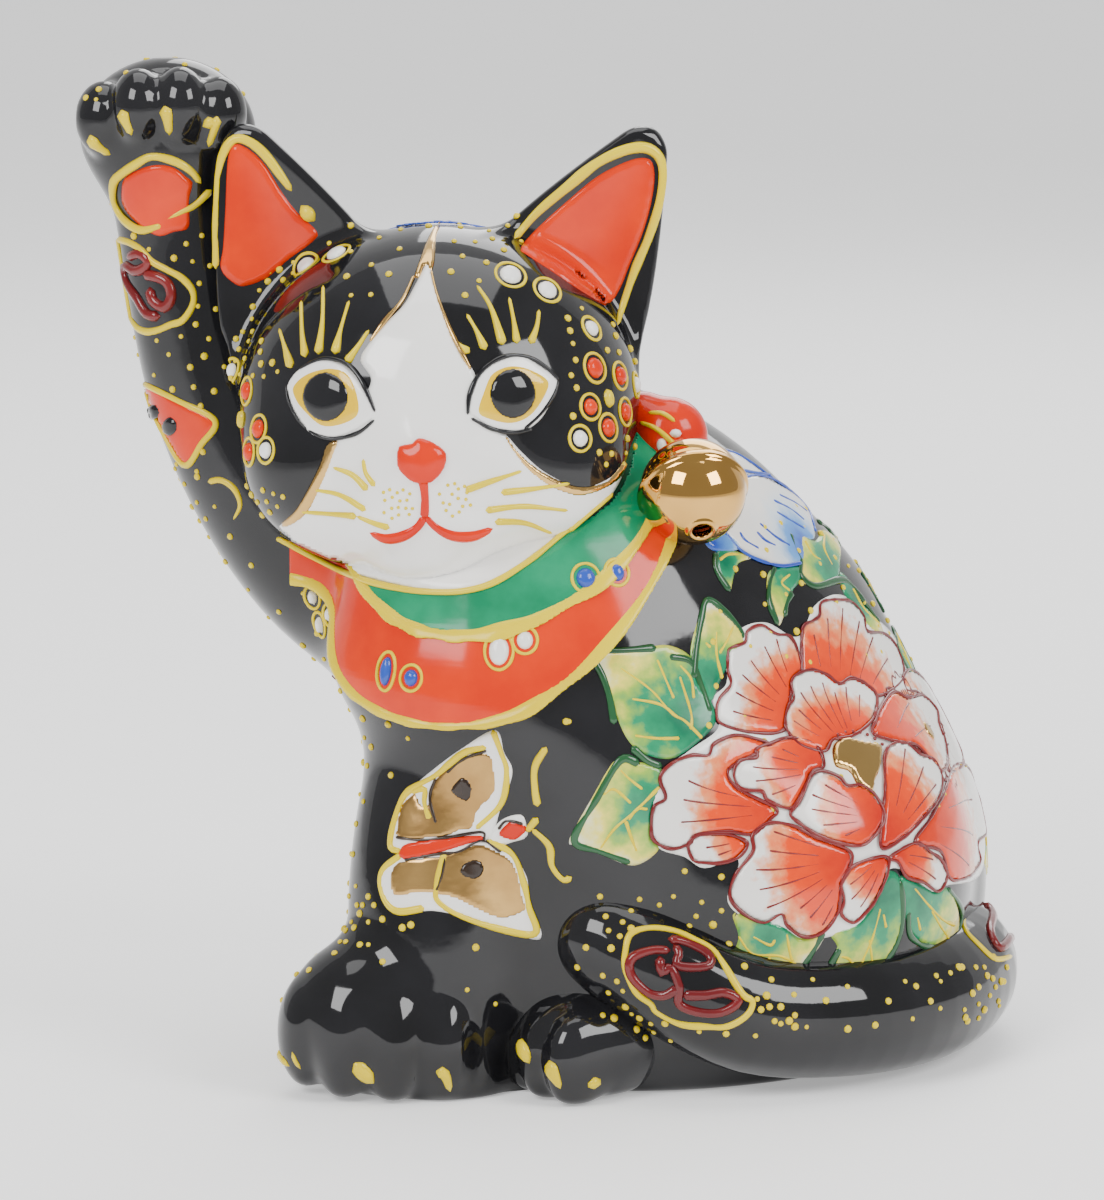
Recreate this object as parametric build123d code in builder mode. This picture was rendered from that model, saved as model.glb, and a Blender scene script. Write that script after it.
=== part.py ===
from build123d import *

import math
import os

# Seated beckoning cat: a hollow slip-cast porcelain figurine with raised enamel decoration.
#
# Frame: +Z up, the face looks along -Y, and the origin is the centre of the footprint on the table.
# The castings are luted together before firing, and the enamels are fired on afterwards, colour by colour.
# Left and right are the cat's own.

# --- driving dimensions, in millimetres ---------------------------------------------------------
WALL = 3.5  # drain-cast wall of the body
HEADING = 35.0  # degrees from +X to the line of the spine, in plan
FOOTPRINT_CENTRE = Vector(-0.16, -0.58, 0)  # where the middle of the finished footprint is drawn
VENT_R = 3.0  # lets the firing gases out of the body
PASSAGE_R = 4.0  # joins the hollow of each casting with the hollow of the body
PASSAGES = (
    ((-2, -2, 88), (-20, -13, 105)),
    ((5, 0, 76), (-37, 3, 87)),
    ((12, 0, 55), (-18, -26, 45)),
)
ENAMEL = 0.7  # how far raised enamel stands off the glaze

HEAD = Vector(-20, -13, 117)
HEAD_R = (35.0, 31.0, 31.0)
MUZZLE = Vector(-21, -34, 104.5)
MUZZLE_R = (17.0, 12.0, 11.5)

# The trunk's oval sections from the table up: height, centre x, centre y, half length, half width
TORSO = (
    (0, 26, 1, 49, 36),
    (10, 27, 1, 53, 38),
    (25, 28, 1, 55, 39),
    (40, 26, 1, 55.5, 39.5),
    (55, 20, 0, 55.5, 39),
    (70, 12, -1, 55.5, 37),
    (84, 9, -1, 50, 34),
    (96, 4, -1, 43.5, 31),
    (106, 0, 0, 36, 27),
    (114, -3, 0, 26, 20),
    (119, -5, 0, 14, 11),
)
HAUNCH_R = (33.0, 26.0, 32.0)
HAUNCH_LEFT = Vector(42, -15, 33)
HAUNCH_RIGHT = Vector(12, 22, 32)

# Limbs as (centre, radius) stations
RAISED_LEG = (
    (Vector(-67, 9, 156), 12.3),
    (Vector(-65, 9, 146), 11.8),
    (Vector(-62.5, 8, 132), 12.2),
    (Vector(-58, 7, 116), 13.2),
    (Vector(-49, 5, 100), 15.0),
    (Vector(-37, 3, 87), 17.0),
    (Vector(-22, 2, 77), 18.0),
)
RAISED_PAW = Vector(-67.8, 8, 162)
RAISED_PAW_R = (15.6, 13.5, 13.0)
STANDING_LEG = (
    (Vector(-10, -14, 72), 18.0),
    (Vector(-15, -22, 55), 17.0),
    (Vector(-19, -27, 38), 16.5),
    (Vector(-20, -30, 20), 17.0),
    (Vector(-20, -30, -4), 17.0),
)
STANDING_PAW = Vector(-32, -36, 12.5)
STANDING_PAW_R = (16.5, 15.0, 14.5)
HIND_PAW_R = (15.0, 11.5, 11.5)
HIND_PAW_LEFT = Vector(7, -37, 9)
HIND_PAW_RIGHT = Vector(-13, 25, 9)
TAIL = (
    (Vector(37, 30, 11.5), 10.0),
    (Vector(58, 33, 12), 11.3),
    (Vector(71, 8, 12.5), 12.0),
    (Vector(66, -15, 12.5), 12.0),
    (Vector(52, -31, 13), 11.5),
    (Vector(34, -39, 15), 11.0),
    (Vector(19, -40.5, 22), 10.2),
    (Vector(9, -39, 27.5), 9.3),
)
# Each ear: foot, tip and the way its open side faces
EARS = {
    "right": (Vector(-43, -9, 136), Vector(-54, -4, 163.5), Vector(-0.15, -1, 0)),
    "left": (Vector(1, -9, 136), Vector(16, -3, 162.5), Vector(0.2, -1, 0)),
}
# Half width and half depth of an ear along its length
EAR_SECTIONS = ((0.0, 15.5, 6.5), (0.4, 11.5, 5.2), (0.75, 6.8, 3.8), (0.95, 3.3, 2.4), (1.0, 1.6, 1.3))
EAR_DISH_R = (11.0, 5.0, 15.0)

# The scarf: a green band over a red bib, each edge in a plane that dips towards the chest
SCARF_EDGE = Plane(origin=(-20, -42, 81), z_dir=(-0.21, -0.83, 1))
BIB_HEM = Plane(origin=(-22.7, -42, 67), z_dir=(-0.39, -0.99, 1))
BAND_WIDTH = 4.8
SCARF_THICK = 1.5
TRIM_WIDTH = 1.3
TRIM_THICK = 2.0
SHOULDER_X = -46.0  # the scarf stops short of the raised upper arm here
KNOT = Vector(20, -13, 111)
KNOT_R = (8.0, 7.0, 8.5)
BELL = Vector(24, -30, 104)
BELL_R = 9.2
BELL_WALL = 1.6
BELL_MOUTH_R = 1.9
BELL_GIRDLE_R = 0.8
BELL_FACING = Vector(0.15, -0.75, -0.6)

# Enamel outlines are drawn as seen from the front, as x and z, and pushed back onto the glaze
FRONT = 120.0
HEAD_BACK = -14.0
BODY_BACK = 4.0
CHEST_BACK = -28.0
EYES = {"right": (-37.2, 121.3, -12), "left": (-6.8, 122.0, 15)}
EYE_HALF = (7.8, 6.2)
PUPIL_R = 4.2
NOSE = (-22.0, 112.0)
NOSE_HALF = (4.1, 3.3)
CHEEKS = {"right": (-51.0, 117.0), "left": (9.3, 119.0)}
CHEEK_PETAL_R = 1.5
CHEEK_PETALS_R = 3.4
BEAD_R = 1.5
LINE_WIDTH = 1.1
FACE_WHITE = (
    (-19.5, 147),
    (-18.8, 139),
    (-17.0, 132),
    (-13.0, 126),
    (-12.0, 118),
    (-5.8, 112.5),
    (-1.5, 109),
    (5.0, 106.5),
    (12.0, 109),
    (13.0, 98),
    (-4.0, 86),
    (-22.0, 84),
    (-40.0, 86),
    (-50.0, 99),
    (-43.0, 103),
    (-39.2, 110),
    (-35.0, 116),
    (-31.5, 121),
    (-33.0, 126.5),
    (-27.5, 133),
    (-22.5, 140),
)
# Strokes as (x, z) at one end and the other
WHISKERS = {
    "right": (((-46, 107), (-31, 104)), ((-45, 101.5), (-33, 101.5)), ((-41, 112), (-32, 107))),
    "left": (((-13, 108), (-3, 111)), ((-11, 106), (3, 107.5)), ((-12, 102.5), (2, 103))),
}
LASHES = {
    "right": (((-44.5, 128), (-47, 134)), ((-41.5, 129.5), (-43, 138)), ((-38, 130), (-37.5, 140)),
              ((-34.5, 129), (-31.5, 134.5))),
    "left": (((-13, 129), (-16, 134)), ((-9.5, 131), (-13, 139)), ((-6, 132), (-7.5, 139)),
             ((-3, 131.5), (-1.5, 137))),
}
CLAW_HALF = (1.2, 2.2)
RAISED_CLAWS = ((-79.0, 161.5), (-74.5, 165), (-67.3, 165.5), (-59.5, 164))
STANDING_CLAWS = ((-44.0, 8.5), (-38.5, 7.0), (-31.0, 6.5), (-24.0, 7.0))
HIND_CLAWS = ((0.5, 7.5), (7.5, 6.5), (15.0, 7.0))
PAD = (-68.8, 152.5)
PAD_HALF = (5.6, 5.0)
PEONY = (45.5, 56.0)
PEONY_R = 27.0
PEONY_HEART = (52.5, 56.8)
PEONY_HEART_R = 4.0
# Leaves as centre x and z, half length, half width, turn
PEONY_LEAVES = ((14.5, 69.5, 11, 6, 5), (9.5, 52, 10, 4.5, -50), (27, 83, 7, 3, 80), (37, 27.5, 7, 2.6, 10),
                (53, 26, 7, 3, -60), (64, 27, 5, 2.8, 25))
BLUE_FLOWER = (36.5, 98.0)
BLUE_FLOWER_R = 8.5
BLUE_HEART_R = 2.2
UPPER_WING = ((-10, 65.5), (-7, 57.5), (-9.5, 47.5), (-20, 47), (-27.5, 47), (-24.7, 54))
LOWER_WING = ((-28.5, 41), (-28, 33.5), (-19, 34), (-4, 30), (-5, 41), (-16, 42.3))
BUTTERFLY = (-17.5, 44.5)
BUTTERFLY_HALF = (9.5, 1.3)
TAIL_CREST = (23.0, 22.5)
ARM_CREST = (-70.5, 136.0)
CREST_R = (6.5, 5.2)
ARM_FAN = ((-71.0, 118.5), (-58.5, 112.5), (-63.5, 105))
TAIL_CREST_BACK = -42.0
# Beads as places on the glaze
SCARF_BEAD_R = 2.6
WHITE_BEADS = ((-41.5, -12.6, 82.0), (-38.5, -13.1, 79.7), (-40.6, -11.7, 76.0), (-8.7, -42.5, 78.4),
               (-2.5, -41.5, 81.0))
BLUE_BEADS = ((-28.4, -37.3, 74.3), (-23.3, -40.3, 73.8), (6.5, -36.6, 90.2), (11.2, -34.8, 91.4))
FOREHEAD_BEADS = ((-41.0, -14.5, 141.9), (-37.1, -17.0, 143.7), (-6.8, -28.6, 141.1), (-0.9, -27.3, 138.6))

front = Plane.XZ.offset(FRONT)
spine = Vector(math.cos(math.radians(HEADING)), math.sin(math.radians(HEADING)), 0)
level = Plane.XY
along_spine = Plane(origin=(0, 0, 0), x_dir=spine, z_dir=(0, 0, 1))


# --- shapes that several pieces share ------------------------------------------------------------
def ellipsoid(centre, radii, axes=level, mode=Mode.ADD):
    """Adds an ellipsoid with its half axes along those of a plane to the part being built."""
    ball = scale(Sphere(1, mode=Mode.PRIVATE), by=radii, mode=Mode.PRIVATE)
    place = Plane(origin=centre, x_dir=axes.x_dir, z_dir=axes.z_dir)
    add(place.location * ball, mode=mode)


def limb(stations, across, grow=0.0):
    """Adds a round limb through (centre, radius) stations, its seam turned towards a direction across it."""
    centres = [centre for centre, _ in stations]
    sections = []
    for i, (centre, radius) in enumerate(stations):
        along = centres[min(i + 1, len(centres) - 1)] - centres[max(i - 1, 0)]
        side = along.cross(across)
        with BuildSketch(Plane(origin=centre, x_dir=side, z_dir=along)) as section:
            Circle(radius + grow)
        sections.append(section.sketch.face())
    loft(sections)


def trim_below_table():
    """Takes away whatever of the part being built lies below the table."""
    with Locations((0, 0, -50)):
        Box(400, 400, 100, mode=Mode.SUBTRACT)


def torso_form(grow=0.0, lift=0.0):
    """The egg-shaped trunk, grown outwards, with its floor lifted."""
    with BuildPart() as form:
        for height, x, y, half_length, half_width in TORSO:
            floor = lift if height == 0 else 0
            with BuildSketch(Plane(origin=(x, y, height + floor), x_dir=spine)):
                Ellipse(half_length + grow, half_width + grow)
        loft()
    return form.part


def grown(radii, grow):
    return tuple(radius + grow for radius in radii)


def body_form(grow=0.0):
    """The outside of the body casting: the trunk and both haunches."""
    with BuildPart() as form:
        add(torso_form(grow))
        ellipsoid(HAUNCH_LEFT, grown(HAUNCH_R, grow), along_spine)
        ellipsoid(HAUNCH_RIGHT, grown(HAUNCH_R, grow), along_spine)
        trim_below_table()
    return form.part


def head_form(grow=0.0):
    """The outside of the head casting: the skull and the muzzle."""
    with BuildPart() as form:
        ellipsoid(HEAD, grown(HEAD_R, grow))
        ellipsoid(MUZZLE, grown(MUZZLE_R, grow))
    return form.part


def raised_leg_form(grow=0.0):
    """The outside of the raised foreleg with its paw."""
    with BuildPart() as form:
        limb(RAISED_LEG, Vector(0, 1, 0), grow)
        ellipsoid(RAISED_PAW, grown(RAISED_PAW_R, grow))
    return form.part


def standing_leg_form(grow=0.0):
    """The outside of the standing foreleg with its paw."""
    with BuildPart() as form:
        limb(STANDING_LEG, Vector(1, 0, 0), grow)
        ellipsoid(STANDING_PAW, grown(STANDING_PAW_R, grow), along_spine)
        trim_below_table()
    return form.part


def standing_leg_hollow():
    """The hollow of the standing foreleg, closed by its floor."""
    with BuildPart() as form:
        add(standing_leg_form(-WALL))
        with Locations((0, 0, WALL + 100)):
            Box(400, 400, 200, mode=Mode.INTERSECT)
    return form.part


def tail_form(grow=0.0):
    """The outside of the tail, closed by its round tip."""
    tip, tip_r = TAIL[-1]
    with BuildPart() as form:
        limb(TAIL, Vector(0, 0, 1), grow)
        ellipsoid(tip, grown((tip_r, tip_r, tip_r), grow))
        trim_below_table()
    return form.part


def ear_axes(foot, tip, facing):
    """The ear's own axes: x across it, z from foot to tip."""
    rise = tip - foot
    return Plane(origin=foot, x_dir=rise.cross(facing), z_dir=rise)


def ear_form(foot, tip, facing):
    """The ear as a solid leaf, before its open side is dished."""
    axes = ear_axes(foot, tip, facing)
    length = (tip - foot).length
    with BuildPart() as form:
        for share, half_width, half_depth in EAR_SECTIONS:
            with BuildSketch(axes.offset(share * length)):
                Ellipse(half_width, half_depth)
        loft()
    return form.part


def ear_dish(foot, tip, facing, forward=0.0):
    """The hollow scooped out of an ear's open side, moved forward."""
    axes = ear_axes(foot, tip, facing)
    centre = foot + (tip - foot) * 0.44 + facing.normalized() * (6.0 + forward)
    with BuildPart() as form:
        ellipsoid(centre, EAR_DISH_R, axes)
    return form.part


def passage_holes():
    """The round holes through the luted joints between the hollow castings."""
    with BuildPart() as holes:
        for start, end in PASSAGES:
            run = Vector(*end) - Vector(*start)
            with BuildSketch(Plane(origin=start, z_dir=run)):
                Circle(PASSAGE_R)
            extrude(amount=run.length)
    return holes.part


def relief(outline, back, surface, *castings):
    """The raised enamel inside an outline drawn on the front plane: it reaches back to a given y, up to
    a grown surface, and stays clear of the castings."""
    with BuildPart() as enamel:
        extrude(outline.sketch, amount=-(FRONT + back))
        add(surface, mode=Mode.INTERSECT)
        for casting in castings:
            add(casting, mode=Mode.SUBTRACT)
    return enamel.part


def between(lower, upper, layer, *castings):
    """The stretch of a layer between two planes, clear of the castings."""
    with BuildPart() as stretch:
        add(layer)
        split(bisect_by=lower, keep=Keep.TOP)
        split(bisect_by=upper, keep=Keep.BOTTOM)
        for casting in castings:
            add(casting, mode=Mode.SUBTRACT)
    return stretch.part


def beads(places, radius, *castings):
    """Round beads of enamel sunk into the castings."""
    with BuildPart() as string:
        with Locations(*places):
            Sphere(radius)
        for casting in castings:
            add(casting, mode=Mode.SUBTRACT)
    return string.part


def stroke_outline(strokes):
    """Round-ended strokes on the front plane."""
    with BuildSketch(front) as outline:
        for start, end in strokes:
            run = Vector(*end) - Vector(*start)
            middle = (Vector(*start) + Vector(*end)) / 2
            with Locations((middle.X, middle.Y)):
                SlotCenterToCenter(run.length, LINE_WIDTH, rotation=math.degrees(math.atan2(run.Y, run.X)))
    return outline


def claw_outline(places):
    """The teardrops of one paw's claws on the front plane."""
    with BuildSketch(front) as outline:
        with Locations(*places):
            Ellipse(*CLAW_HALF)
    return outline


def scallop_outline(centre, radius, petals, hole_centre, hole_r):
    """A flower head with round petal tips and a hole for its heart."""
    tip_r = radius * math.sin(math.pi / petals) * 0.85
    with BuildSketch(front) as outline:
        with Locations(centre):
            Circle(radius - tip_r)
            with PolarLocations(radius - tip_r, petals):
                Circle(tip_r)
        with Locations(hole_centre):
            Circle(hole_r, mode=Mode.SUBTRACT)
    return outline


def closed_curve(points):
    """A smooth closed outline on the front plane."""
    with BuildSketch(front) as outline:
        with BuildLine():
            Spline(*points, periodic=True)
        make_face()
    return outline


def write(name, part):
    """Writes one node in the frame of the footprint's centre, and says how many solids it has."""
    placed = part.moved(Location(-FOOTPRINT_CENTRE))
    placed.label = name
    export_step(placed, f"parts/{name}.step")
    print(f"{name}: {len(placed.solids())} solids, {placed.volume:.0f} mm3")


os.makedirs("parts", exist_ok=True)
body_outside = body_form()
head_outside = head_form()
raised_outside = raised_leg_form()
standing_outside = standing_leg_form()
tail_outside = tail_form()

slip_passages = passage_holes()

# --- castings --------------------------------------------------------------------------------------
with BuildPart() as body_casting:
    add(body_outside)
    add(torso_form(-WALL, WALL), mode=Mode.SUBTRACT)
    add(slip_passages, mode=Mode.SUBTRACT)
    with Locations((TORSO[0][1], TORSO[0][2], 0)):
        Cylinder(VENT_R, 3 * WALL, mode=Mode.SUBTRACT)
write("body_casting", body_casting.part)

with BuildPart() as head_casting:
    add(head_outside)
    add(head_form(-WALL), mode=Mode.SUBTRACT)
    add(slip_passages, mode=Mode.SUBTRACT)
    add(body_outside, mode=Mode.SUBTRACT)
write("head_casting", head_casting.part)

with BuildPart() as raised_foreleg:
    add(raised_outside)
    add(raised_leg_form(-WALL), mode=Mode.SUBTRACT)
    for neighbour in (slip_passages, body_outside, head_outside):
        add(neighbour, mode=Mode.SUBTRACT)
write("raised_foreleg", raised_foreleg.part)

with BuildPart() as standing_foreleg:
    add(standing_outside)
    add(standing_leg_hollow(), mode=Mode.SUBTRACT)
    for neighbour in (slip_passages, body_outside):
        add(neighbour, mode=Mode.SUBTRACT)
write("standing_foreleg", standing_foreleg.part)

with BuildPart() as tail:
    add(tail_outside)
    add(body_outside, mode=Mode.SUBTRACT)
write("tail", tail.part)

for side, centre in (("left", HIND_PAW_LEFT), ("right", HIND_PAW_RIGHT)):
    with BuildPart() as hind_paw:
        ellipsoid(centre, HIND_PAW_R, along_spine)
        trim_below_table()
        add(body_outside, mode=Mode.SUBTRACT)
        add(tail_outside, mode=Mode.SUBTRACT)
        add(standing_outside, mode=Mode.SUBTRACT)
    write(f"hind_paw_{side}", hind_paw.part)

for side, ear_place in EARS.items():
    with BuildPart() as ear:
        add(ear_form(*ear_place))
        add(ear_dish(*ear_place), mode=Mode.SUBTRACT)
        add(head_outside, mode=Mode.SUBTRACT)
        add(raised_outside, mode=Mode.SUBTRACT)
    write(f"ear_{side}", ear.part)
    with BuildPart() as lining:
        add(ear_form(*ear_place))
        add(ear_dish(*ear_place), mode=Mode.INTERSECT)
        add(ear_dish(*ear_place, forward=ENAMEL), mode=Mode.SUBTRACT)
        add(head_outside, mode=Mode.SUBTRACT)
        add(raised_outside, mode=Mode.SUBTRACT)
    write(f"ear_{side}_lining", lining.part)

# --- scarf and bell --------------------------------------------------------------------------------
castings = (body_outside, head_outside, raised_outside, standing_outside)


def scarf_form(thickness):
    """The neck and the right shoulder, grown by the scarf's thickness."""
    with BuildPart() as form:
        add(raised_leg_form(thickness))
        with Locations((SHOULDER_X + 100, 0, 100)):
            Box(200, 200, 200, mode=Mode.INTERSECT)
        add(body_form(thickness))
        add(standing_leg_form(thickness))
    return form.part


cloth = scarf_form(SCARF_THICK)
cord = scarf_form(TRIM_THICK)
collar = SCARF_EDGE.offset(BAND_WIDTH)
half_trim = TRIM_WIDTH / 2

neckband = between(SCARF_EDGE.offset(half_trim), collar.offset(-half_trim), cloth, *castings)
write("neckband", neckband)
bib = between(BIB_HEM.offset(half_trim), SCARF_EDGE.offset(-half_trim), cloth, *castings)
write("bib", bib)
trims = []
for name, edge in (("collar_trim", collar), ("scarf_trim", SCARF_EDGE), ("bib_trim", BIB_HEM)):
    trim = between(edge.offset(-half_trim), edge.offset(half_trim), cord, *castings, *trims)
    write(name, trim)
    trims.append(trim)
scarf = (neckband, bib, *trims)

with BuildPart() as bib_knot:
    ellipsoid(KNOT, KNOT_R)
    for neighbour in (body_outside, head_outside, *scarf):
        add(neighbour, mode=Mode.SUBTRACT)
write("bib_knot", bib_knot.part)

with BuildPart() as bell:
    with Locations(BELL):
        Sphere(BELL_R)
        Torus(BELL_R, BELL_GIRDLE_R)
        Sphere(BELL_R - BELL_WALL, mode=Mode.SUBTRACT)
    with BuildSketch(Plane(origin=BELL, z_dir=BELL_FACING)):
        Circle(BELL_MOUTH_R)
    extrude(amount=2 * BELL_R, mode=Mode.SUBTRACT)
    for neighbour in (body_outside, *scarf):
        add(neighbour, mode=Mode.SUBTRACT)
write("bell", bell.part)

write("white_beads", beads(WHITE_BEADS, SCARF_BEAD_R, *castings, *scarf))
write("blue_beads", beads(BLUE_BEADS, SCARF_BEAD_R, *castings, *scarf, bell.part))

# --- enamels on the head ---------------------------------------------------------------------------
head_glaze = (HEAD_BACK, head_form(ENAMEL), head_outside)

with BuildSketch(front) as nose_outline:
    with Locations(NOSE):
        Ellipse(*NOSE_HALF)
write("nose", relief(nose_outline, *head_glaze))

eye_outlines = []
for side, (x, z, turn) in EYES.items():
    with BuildSketch(front) as eye_outline:
        with Locations((x, z)):
            Ellipse(*EYE_HALF, rotation=turn)
    with BuildSketch(front) as pupil_outline:
        with Locations((x, z)):
            Circle(PUPIL_R)
    with BuildSketch(front) as iris_outline:
        add(eye_outline.sketch)
        add(pupil_outline.sketch, mode=Mode.SUBTRACT)
    write(f"eye_{side}", relief(iris_outline, *head_glaze))
    write(f"pupil_{side}", relief(pupil_outline, *head_glaze))
    eye_outlines.append(eye_outline)

for side in EYES:
    write(f"whiskers_{side}", relief(stroke_outline(WHISKERS[side]), *head_glaze))
    write(f"lashes_{side}", relief(stroke_outline(LASHES[side]), *head_glaze))
    with BuildSketch(front) as blossom_outline:
        with Locations(CHEEKS[side]):
            Circle(CHEEK_PETAL_R)
            with PolarLocations(CHEEK_PETALS_R, 5):
                Circle(CHEEK_PETAL_R)
    write(f"cheek_blossom_{side}", relief(blossom_outline, *head_glaze))

with BuildSketch(front) as face_outline:
    with BuildLine():
        Polyline(*FACE_WHITE, close=True)
    make_face()
    for side in EYES:
        add(stroke_outline(WHISKERS[side]).sketch, mode=Mode.SUBTRACT)
    for taken in (nose_outline, *eye_outlines):
        add(taken.sketch, mode=Mode.SUBTRACT)
write("face_white", relief(face_outline, *head_glaze, body_outside, *scarf))
write("forehead_beads", beads(FOREHEAD_BEADS, BEAD_R, head_outside))

# --- enamels on the limbs --------------------------------------------------------------------------
raised_glaze = (BODY_BACK, raised_leg_form(ENAMEL), raised_outside)
with BuildSketch(front) as pad_outline:
    with Locations(PAD):
        Ellipse(*PAD_HALF)
write("paw_pad", relief(pad_outline, *raised_glaze))
write("raised_paw_claws", relief(claw_outline(RAISED_CLAWS), *raised_glaze))

with BuildSketch(front) as fan_outline:
    with BuildLine():
        Polyline(*ARM_FAN, close=True)
    make_face()
write("arm_fan", relief(fan_outline, *raised_glaze))

standing_glaze = (STANDING_PAW.Y, standing_leg_form(ENAMEL), standing_outside)
write("standing_paw_claws", relief(claw_outline(STANDING_CLAWS), *standing_glaze))

with BuildPart() as grown_paw:
    ellipsoid(HIND_PAW_LEFT, grown(HIND_PAW_R, ENAMEL), along_spine)
with BuildPart() as whole_paw:
    ellipsoid(HIND_PAW_LEFT, HIND_PAW_R, along_spine)
hind_glaze = (HIND_PAW_LEFT.Y, grown_paw.part, whole_paw.part)
write("hind_paw_claws", relief(claw_outline(HIND_CLAWS), *hind_glaze))

tail_glaze = (TAIL_CREST_BACK, tail_form(ENAMEL), tail_outside)
for name, place, glaze in (("tail_crest", TAIL_CREST, tail_glaze), ("arm_crest", ARM_CREST, raised_glaze)):
    with BuildSketch(front) as crest_outline:
        with Locations(place):
            Circle(CREST_R[0])
            Circle(CREST_R[1], mode=Mode.SUBTRACT)
            Circle(CREST_R[1] / 2)
    write(name, relief(crest_outline, *glaze))

# --- enamels on the flank --------------------------------------------------------------------------
with BuildPart() as grown_flank:
    add(body_form(ENAMEL))
    add(standing_leg_form(ENAMEL))
flank_glaze = (BODY_BACK, grown_flank.part, body_outside, standing_outside)

peony = scallop_outline(PEONY, PEONY_R, 9, PEONY_HEART, PEONY_HEART_R)
write("peony", relief(peony, *flank_glaze, tail_outside))
with BuildSketch(front) as heart_outline:
    with Locations(PEONY_HEART):
        Circle(PEONY_HEART_R)
write("peony_heart", relief(heart_outline, *flank_glaze))

with BuildSketch(front) as leaf_outline:
    for x, z, half_length, half_width, turn in PEONY_LEAVES:
        with Locations((x, z)):
            Ellipse(half_length, half_width, rotation=turn)
    add(peony.sketch, mode=Mode.SUBTRACT)
write("peony_leaves", relief(leaf_outline, *flank_glaze, tail_outside))

blue_flower = scallop_outline(BLUE_FLOWER, BLUE_FLOWER_R, 10, BLUE_FLOWER, BLUE_HEART_R)
write("blue_flower", relief(blue_flower, *flank_glaze, bell.part))
with BuildSketch(front) as blue_heart:
    with Locations(BLUE_FLOWER):
        Circle(BLUE_HEART_R)
write("blue_flower_heart", relief(blue_heart, *flank_glaze))

with BuildSketch(front) as butterfly_outline:
    with Locations(BUTTERFLY):
        Ellipse(*BUTTERFLY_HALF, rotation=8)
chest_glaze = (CHEST_BACK, *flank_glaze[1:])
write("butterfly_body", relief(butterfly_outline, *chest_glaze))
with BuildSketch(front) as wings:
    for wing in (UPPER_WING, LOWER_WING):
        add(closed_curve(wing).sketch)
    add(butterfly_outline.sketch, mode=Mode.SUBTRACT)
write("butterfly_wings", relief(wings, *chest_glaze))
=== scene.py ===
import math

import bpy
import numpy as np
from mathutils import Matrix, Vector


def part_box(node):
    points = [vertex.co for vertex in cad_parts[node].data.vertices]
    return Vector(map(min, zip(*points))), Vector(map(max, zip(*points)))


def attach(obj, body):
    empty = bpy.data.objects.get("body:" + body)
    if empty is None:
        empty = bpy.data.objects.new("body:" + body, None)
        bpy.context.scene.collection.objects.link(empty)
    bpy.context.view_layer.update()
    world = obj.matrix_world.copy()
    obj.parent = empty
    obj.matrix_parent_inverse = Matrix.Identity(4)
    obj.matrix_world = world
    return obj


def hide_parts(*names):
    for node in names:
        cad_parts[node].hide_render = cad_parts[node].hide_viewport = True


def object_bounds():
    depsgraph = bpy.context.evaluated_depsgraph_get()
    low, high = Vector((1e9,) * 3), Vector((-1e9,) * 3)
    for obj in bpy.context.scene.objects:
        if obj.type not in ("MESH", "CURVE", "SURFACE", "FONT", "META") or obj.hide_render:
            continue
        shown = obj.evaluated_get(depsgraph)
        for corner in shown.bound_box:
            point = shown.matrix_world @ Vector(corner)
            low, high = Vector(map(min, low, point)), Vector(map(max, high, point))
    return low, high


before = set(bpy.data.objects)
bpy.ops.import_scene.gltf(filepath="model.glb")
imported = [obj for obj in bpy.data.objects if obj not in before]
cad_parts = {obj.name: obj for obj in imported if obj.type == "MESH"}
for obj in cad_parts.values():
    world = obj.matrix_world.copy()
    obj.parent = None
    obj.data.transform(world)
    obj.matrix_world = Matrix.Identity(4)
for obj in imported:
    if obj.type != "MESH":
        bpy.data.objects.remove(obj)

import openvdb
from mathutils import Vector

# A beckoning cat in glazed and enamelled porcelain. All lengths here are millimetres in the CAD's frame,
# and MM turns them into Blender's metres. The castings are sculpted as distance fields and meshed; the
# enamels are laid on that glaze: flat patches, piped lines and dots, each fired on in its own colour.
MM = 0.001
CAD_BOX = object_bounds()


def corners(node):
    """A CAD node's lowest and highest corner, in millimetres."""
    return [np.array(corner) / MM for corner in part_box(node)]


# --- where things are, from the frame --------------------------------------------------------------
HEAD_R = np.array((35.0, 31.0, 31.0))
head_low, head_high = corners("head_casting")
HEAD = np.array(((head_low[0] + head_high[0]) / 2, head_high[1] - HEAD_R[1], head_high[2] - HEAD_R[2]))
# The castings are described from the sculptor's own origin, which the head places in the frame
ORIGIN = HEAD - np.array((-20.0, -13.0, 117.0))
BELL_BOX = corners("bell")
BELL_R = (BELL_BOX[1][0] - BELL_BOX[0][0]) / 2 - 0.8
BELL = np.array(((BELL_BOX[0][0] + BELL_BOX[1][0]) / 2, BELL_BOX[0][1] + BELL_R + 0.8,
                 (BELL_BOX[0][2] + BELL_BOX[1][2]) / 2))

# The camera, which is also where the front's drawings are laid out from
ELEVATION = math.radians(10)
DISTANCE = 1100.0
TARGET = np.array((0.0, 0.0, 79.9))
FRAME_HEIGHT = 212.4


# --- distance fields -------------------------------------------------------------------------------
def at(*point):
    """A place given from the sculptor's origin."""
    return np.array(point, float) + ORIGIN


def blend(a, b, width):
    """The smooth union of two fields."""
    h = np.clip(0.5 + 0.5 * (b - a) / width, 0, 1)
    return b + (a - b) * h - width * h * (1 - h)


def cut(a, b, width):
    """The smooth intersection of two fields."""
    return -blend(-a, -b, width)


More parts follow.
